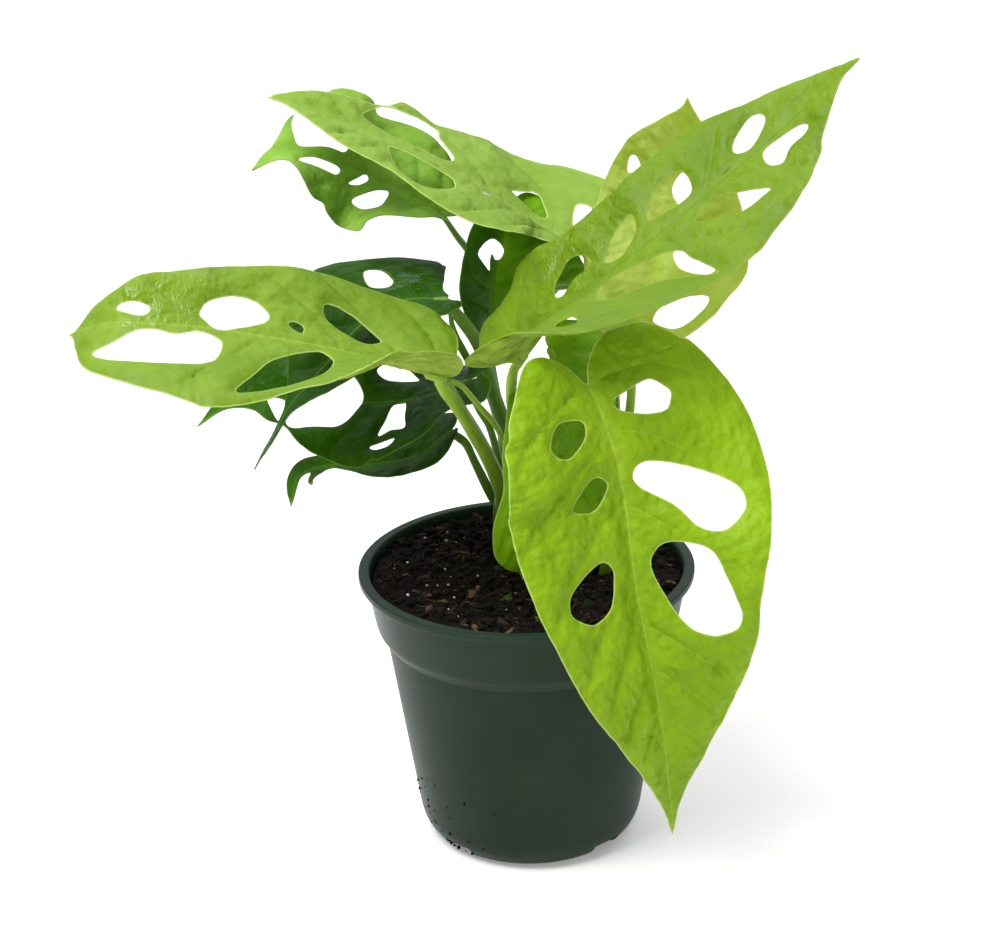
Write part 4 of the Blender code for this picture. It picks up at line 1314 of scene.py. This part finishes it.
def pot_material():
    n = Nodes("pot_green")
    place = n.place()
    height = n.part(place, "Z")
    broad = n.noise(place, 22.0, 3.0)
    dust = n.times(n.ramp(n.noise(place, 160.0, 6.0, 0.7), 0.62, 0.78), n.ramp(height, 0.03, 0.0, 0.1, 0.8))
    colour = n.mix(dust, n.mix(n.ramp(broad, 0.35, 0.7), POT_COLOUR, POT_LIGHT), DUST)
    # Painted highlight: the top of the rim is tinted lighter and greyer
    colour = n.tinted(colour, (height, 0.0935, 0.096, 0.45, POT_RIM_SHEEN))
    rough = n.plus(n.ramp(broad, 0.3, 0.7, 0.33, 0.42), n.times(dust, 0.4))
    drawn = n.noise(n.scaled(place, (1.0, 1.0, 0.15)), 260.0, 3.0)
    relief = n.plus(n.times(drawn, 0.7), n.times(n.noise(place, 900.0, 3.0, 0.6), 0.3))
    return n.finish(n.surface(colour, rough, n.bump(relief, 0.00006, 0.6), 0.12))


def soil_material():
    n = Nodes("soil_bed")
    place = n.place()
    clods = n.noise(place, 160.0, 5.0, 0.65)
    grain = n.noise(place, 900.0, 4.0, 0.7)
    colour = n.mix(n.ramp(clods, 0.35, 0.7), SOIL_BLACK, SOIL_BROWN)
    colour = n.tinted(colour, (grain, 0.6, 0.78, 0.6, SOIL_TAN))
    rough = n.ramp(grain, 0.3, 0.7, 0.75, 0.95)
    return n.finish(n.surface(colour, rough, n.bump(n.plus(grain, clods), 0.0008), 0.15))


def crumb_material(name, dark, middle, light):
    """Small pieces that differ in tone."""
    n = Nodes(name)
    tone = n.stored("tone")
    grain = n.noise(n.place(), 1100.0, 4.0, 0.7)
    colour = n.mix(n.ramp(tone, 0.0, 0.6), dark, middle)
    colour = n.tinted(colour, (tone, 0.55, 1.0, 1.0, light), (grain, 0.5, 0.75, 0.5, dark))
    return n.finish(n.surface(colour, 0.9, n.bump(grain, 0.0004), 0.15))


# Stage


def make_floor():
    n = Nodes("floor_white")
    colour = n.mix(n.ramp(n.noise(n.place(), 3.0), 0.3, 0.7), FLOOR_WHITE, FLOOR_SHADE)
    inputs = {"Emission Color": FLOOR_WHITE, "Emission Strength": FLOOR_GLOW}
    face = n.add("BsdfPrincipled", {"Base Color": colour, "Roughness": 0.8, **inputs})
    material = n.finish(face.outputs[0])
    corners = [(x * FLOOR_REACH, y * FLOOR_REACH, 0) for x, y in ((-1, -1), (1, -1), (1, 1), (-1, 1))]
    new_object("floor", corners, [(0, 1, 2, 3)], material)


def make_light(name, place, aim, size, energy):
    data = bpy.data.lights.new(name, "AREA")
    data.size = size * MM
    data.energy = energy
    light = bpy.data.objects.new(name, data)
    bpy.context.scene.collection.objects.link(light)
    light.location = Vector(place) * MM
    light.rotation_mode = "QUATERNION"
    light.rotation_quaternion = (Vector(aim) * MM - light.location).to_track_quat("-Z", "Y")


def make_world():
    world = bpy.data.worlds.new("studio")
    bpy.context.scene.world = world
    world.use_nodes = True
    ground = world.node_tree.nodes["Background"]
    ground.inputs["Color"].default_value = WORLD_WHITE
    ground.inputs["Strength"].default_value = WORLD_STRENGTH


def make_camera():
    """The photograph's camera: it looks down on the plant from the front, and is slightly rolled."""
    tilt, yaw, pitch, roll = map(math.radians, (CAMERA_TILT, CAMERA_YAW, CAMERA_PITCH, CAMERA_ROLL))
    ahead = np.array((0.0, math.cos(tilt), -math.sin(tilt)))
    place = np.array((0.0, 0.0, CAMERA_AIM)) - ahead * CAMERA_DISTANCE
    right = np.array((1.0, 0.0, 0.0))
    look = unit(ahead + math.tan(yaw) * right + math.tan(pitch) * np.cross(right, ahead))
    level = unit(np.cross(look, (0.0, 0.0, 1.0)))
    above = np.cross(level, look)
    x_axis = math.cos(roll) * level + math.sin(roll) * above
    y_axis = -math.sin(roll) * level + math.cos(roll) * above
    data = bpy.data.cameras.new("camera")
    data.lens = CAMERA_LENS
    data.sensor_width = CAMERA_SENSOR
    data.clip_start, data.clip_end = 0.01, 50.0
    camera = bpy.data.objects.new("camera", data)
    bpy.context.scene.collection.objects.link(camera)
    axes = np.stack([x_axis, y_axis, -look], 1)
    camera.matrix_world = Matrix.Translation(Vector(place) * MM) @ Matrix(axes.tolist()).to_4x4()
    bpy.context.scene.camera = camera


# Everything put together


def build_blades():
    materials = {look: leaf_material(look) for look in dict.fromkeys(blade.look for blade in BLADES)}
    for seed, blade in enumerate(BLADES, 1):
        build_blade(blade, materials[blade.look], seed)


def petiole_line(crown, angle, distance, radii, points, blade):
    """The line of a petiole from inside the soil into its blade, its radii, and the way up at the blade."""
    x, y = around(math.radians(angle), distance)
    root = (crown[0] + x * 0.55, crown[1] + y * 0.55, STALK_BURIED)
    foot = [crown[0] + x, crown[1] + y]
    low, high = radii
    line = [root, (*foot, STALK_FOOT), (*foot, STALK_FOOT + 9)] + points
    radii = [low * 1.25, low * 1.1, low, low * 0.95, (low + high) / 2, high]
    if not blade:
        return line, radii, STALK_UP
    surface = BladeSurface(blade)
    base, up = surface.line[0], surface.up[0]
    line += [tuple(base - up * 1.3), tuple(base + surface.tangent[0] * 4.0 - up * 1.1)]
    return line, radii + [high * 1.12, high * 0.75], up


def build_stalks():
    pale, dark = ((stalk_material(slot, *colours), slot) for slot, colours in STALK_COLOURS.items())
    blades = {blade.name: blade for blade in BLADES}
    for name, *route in PETIOLES:
        line, radii, up = petiole_line(*route, blades.get(name))
        finish = dark if "dark" in name else pale
        build_stalk("stalk_" + name, line, radii, STALK_SHAPE, up, *finish, "petiole_" + name)
    build_stalk("stalk_dark_sheath", DARK_SHEATH, [0.9, 1.3, 1.4, 1.0, 0.6], (0.6, 0.1, 0.0), STALK_UP, *dark)
    for name, (x, y), height, radius in (
        ("main_stem", MAIN_CROWN, 112.0, 4.6), ("second_stem", SECOND_CROWN, 103.0, 3.6),
    ):
        middle = (x + 0.4, y, (STEM_BURIED + height) / 2 + 3)
        line = [(x, y, STEM_BURIED), (x, y, STEM_BURIED + 8), middle, (x, y, height)]
        radii = [radius, radius, radius * 0.9, radius * 0.6]
        build_stalk(name + "_bark", line, radii, (1.0, 0.0, 0.0), (0.0, 1.0, 0.1), *dark, name)


# sizes and tones are ranges, squash scales the three axes, rough is how uneven the lumps are and level how
# fine. spot finds the place of each one that doesn't lie just anywhere on the soil.
Lumps = namedtuple("Lumps", "name colours count sizes squash tones rough level seed spot", defaults=(None,))

LUMPS = [
    Lumps("soil_crumbs", CRUMBS, 1500, (0.35, 1.9), (1.0, 0.85, 0.7), (0.0, 0.75), 0.7, 2, 11),
    Lumps("soil_chips", CHIPS, 160, (0.6, 2.2), (1.5, 0.6, 0.35), (0.1, 1.0), 0.5, 2, 12),
    Lumps("soil_perlite", PERLITE, 70, (0.25, 0.75), (1.0, 0.9, 0.8), (0.2, 1.0), 0.5, 2, 13),
    Lumps("soil_specks", CRUMBS, 90, (0.15, 0.65), (1.0, 0.9, 0.9), (0.0, 0.6), 0.7, 1, 16, wall_spot),
    Lumps("soil_moss", MOSS, 60, (0.5, 1.5), (1.1, 1.0, 0.5), (0.0, 1.0), 1.1, 2, 14, moss_spot),
]


def build_ground():
    build_soil(soil_material())
    for lumps in LUMPS:
        scatter(lumps)
    build_fibres(crumb_material("soil_fibres", *FIBRES), 320, 15)


def build():
    for obj in list(bpy.data.objects):
        if obj.name in ("Cube", "Light", "Camera"):
            bpy.data.objects.remove(obj, do_unlink=True)
    bpy.context.scene.view_settings.view_transform = "Standard"
    make_camera()
    make_world()
    make_floor()
    make_light("key", (-450, -350, 1100), (0, 0, 120), 500, 13.0)
    make_light("top", (0, 1500, 2000), (0, 900, 0), 3500, 40.0)
    make_light("sky", (-300, 120, 1350), (-60, 0, 190), 200, 1.6)
    build_pot(pot_material())
    build_ground()
    build_stalks()
    build_blades()


build()
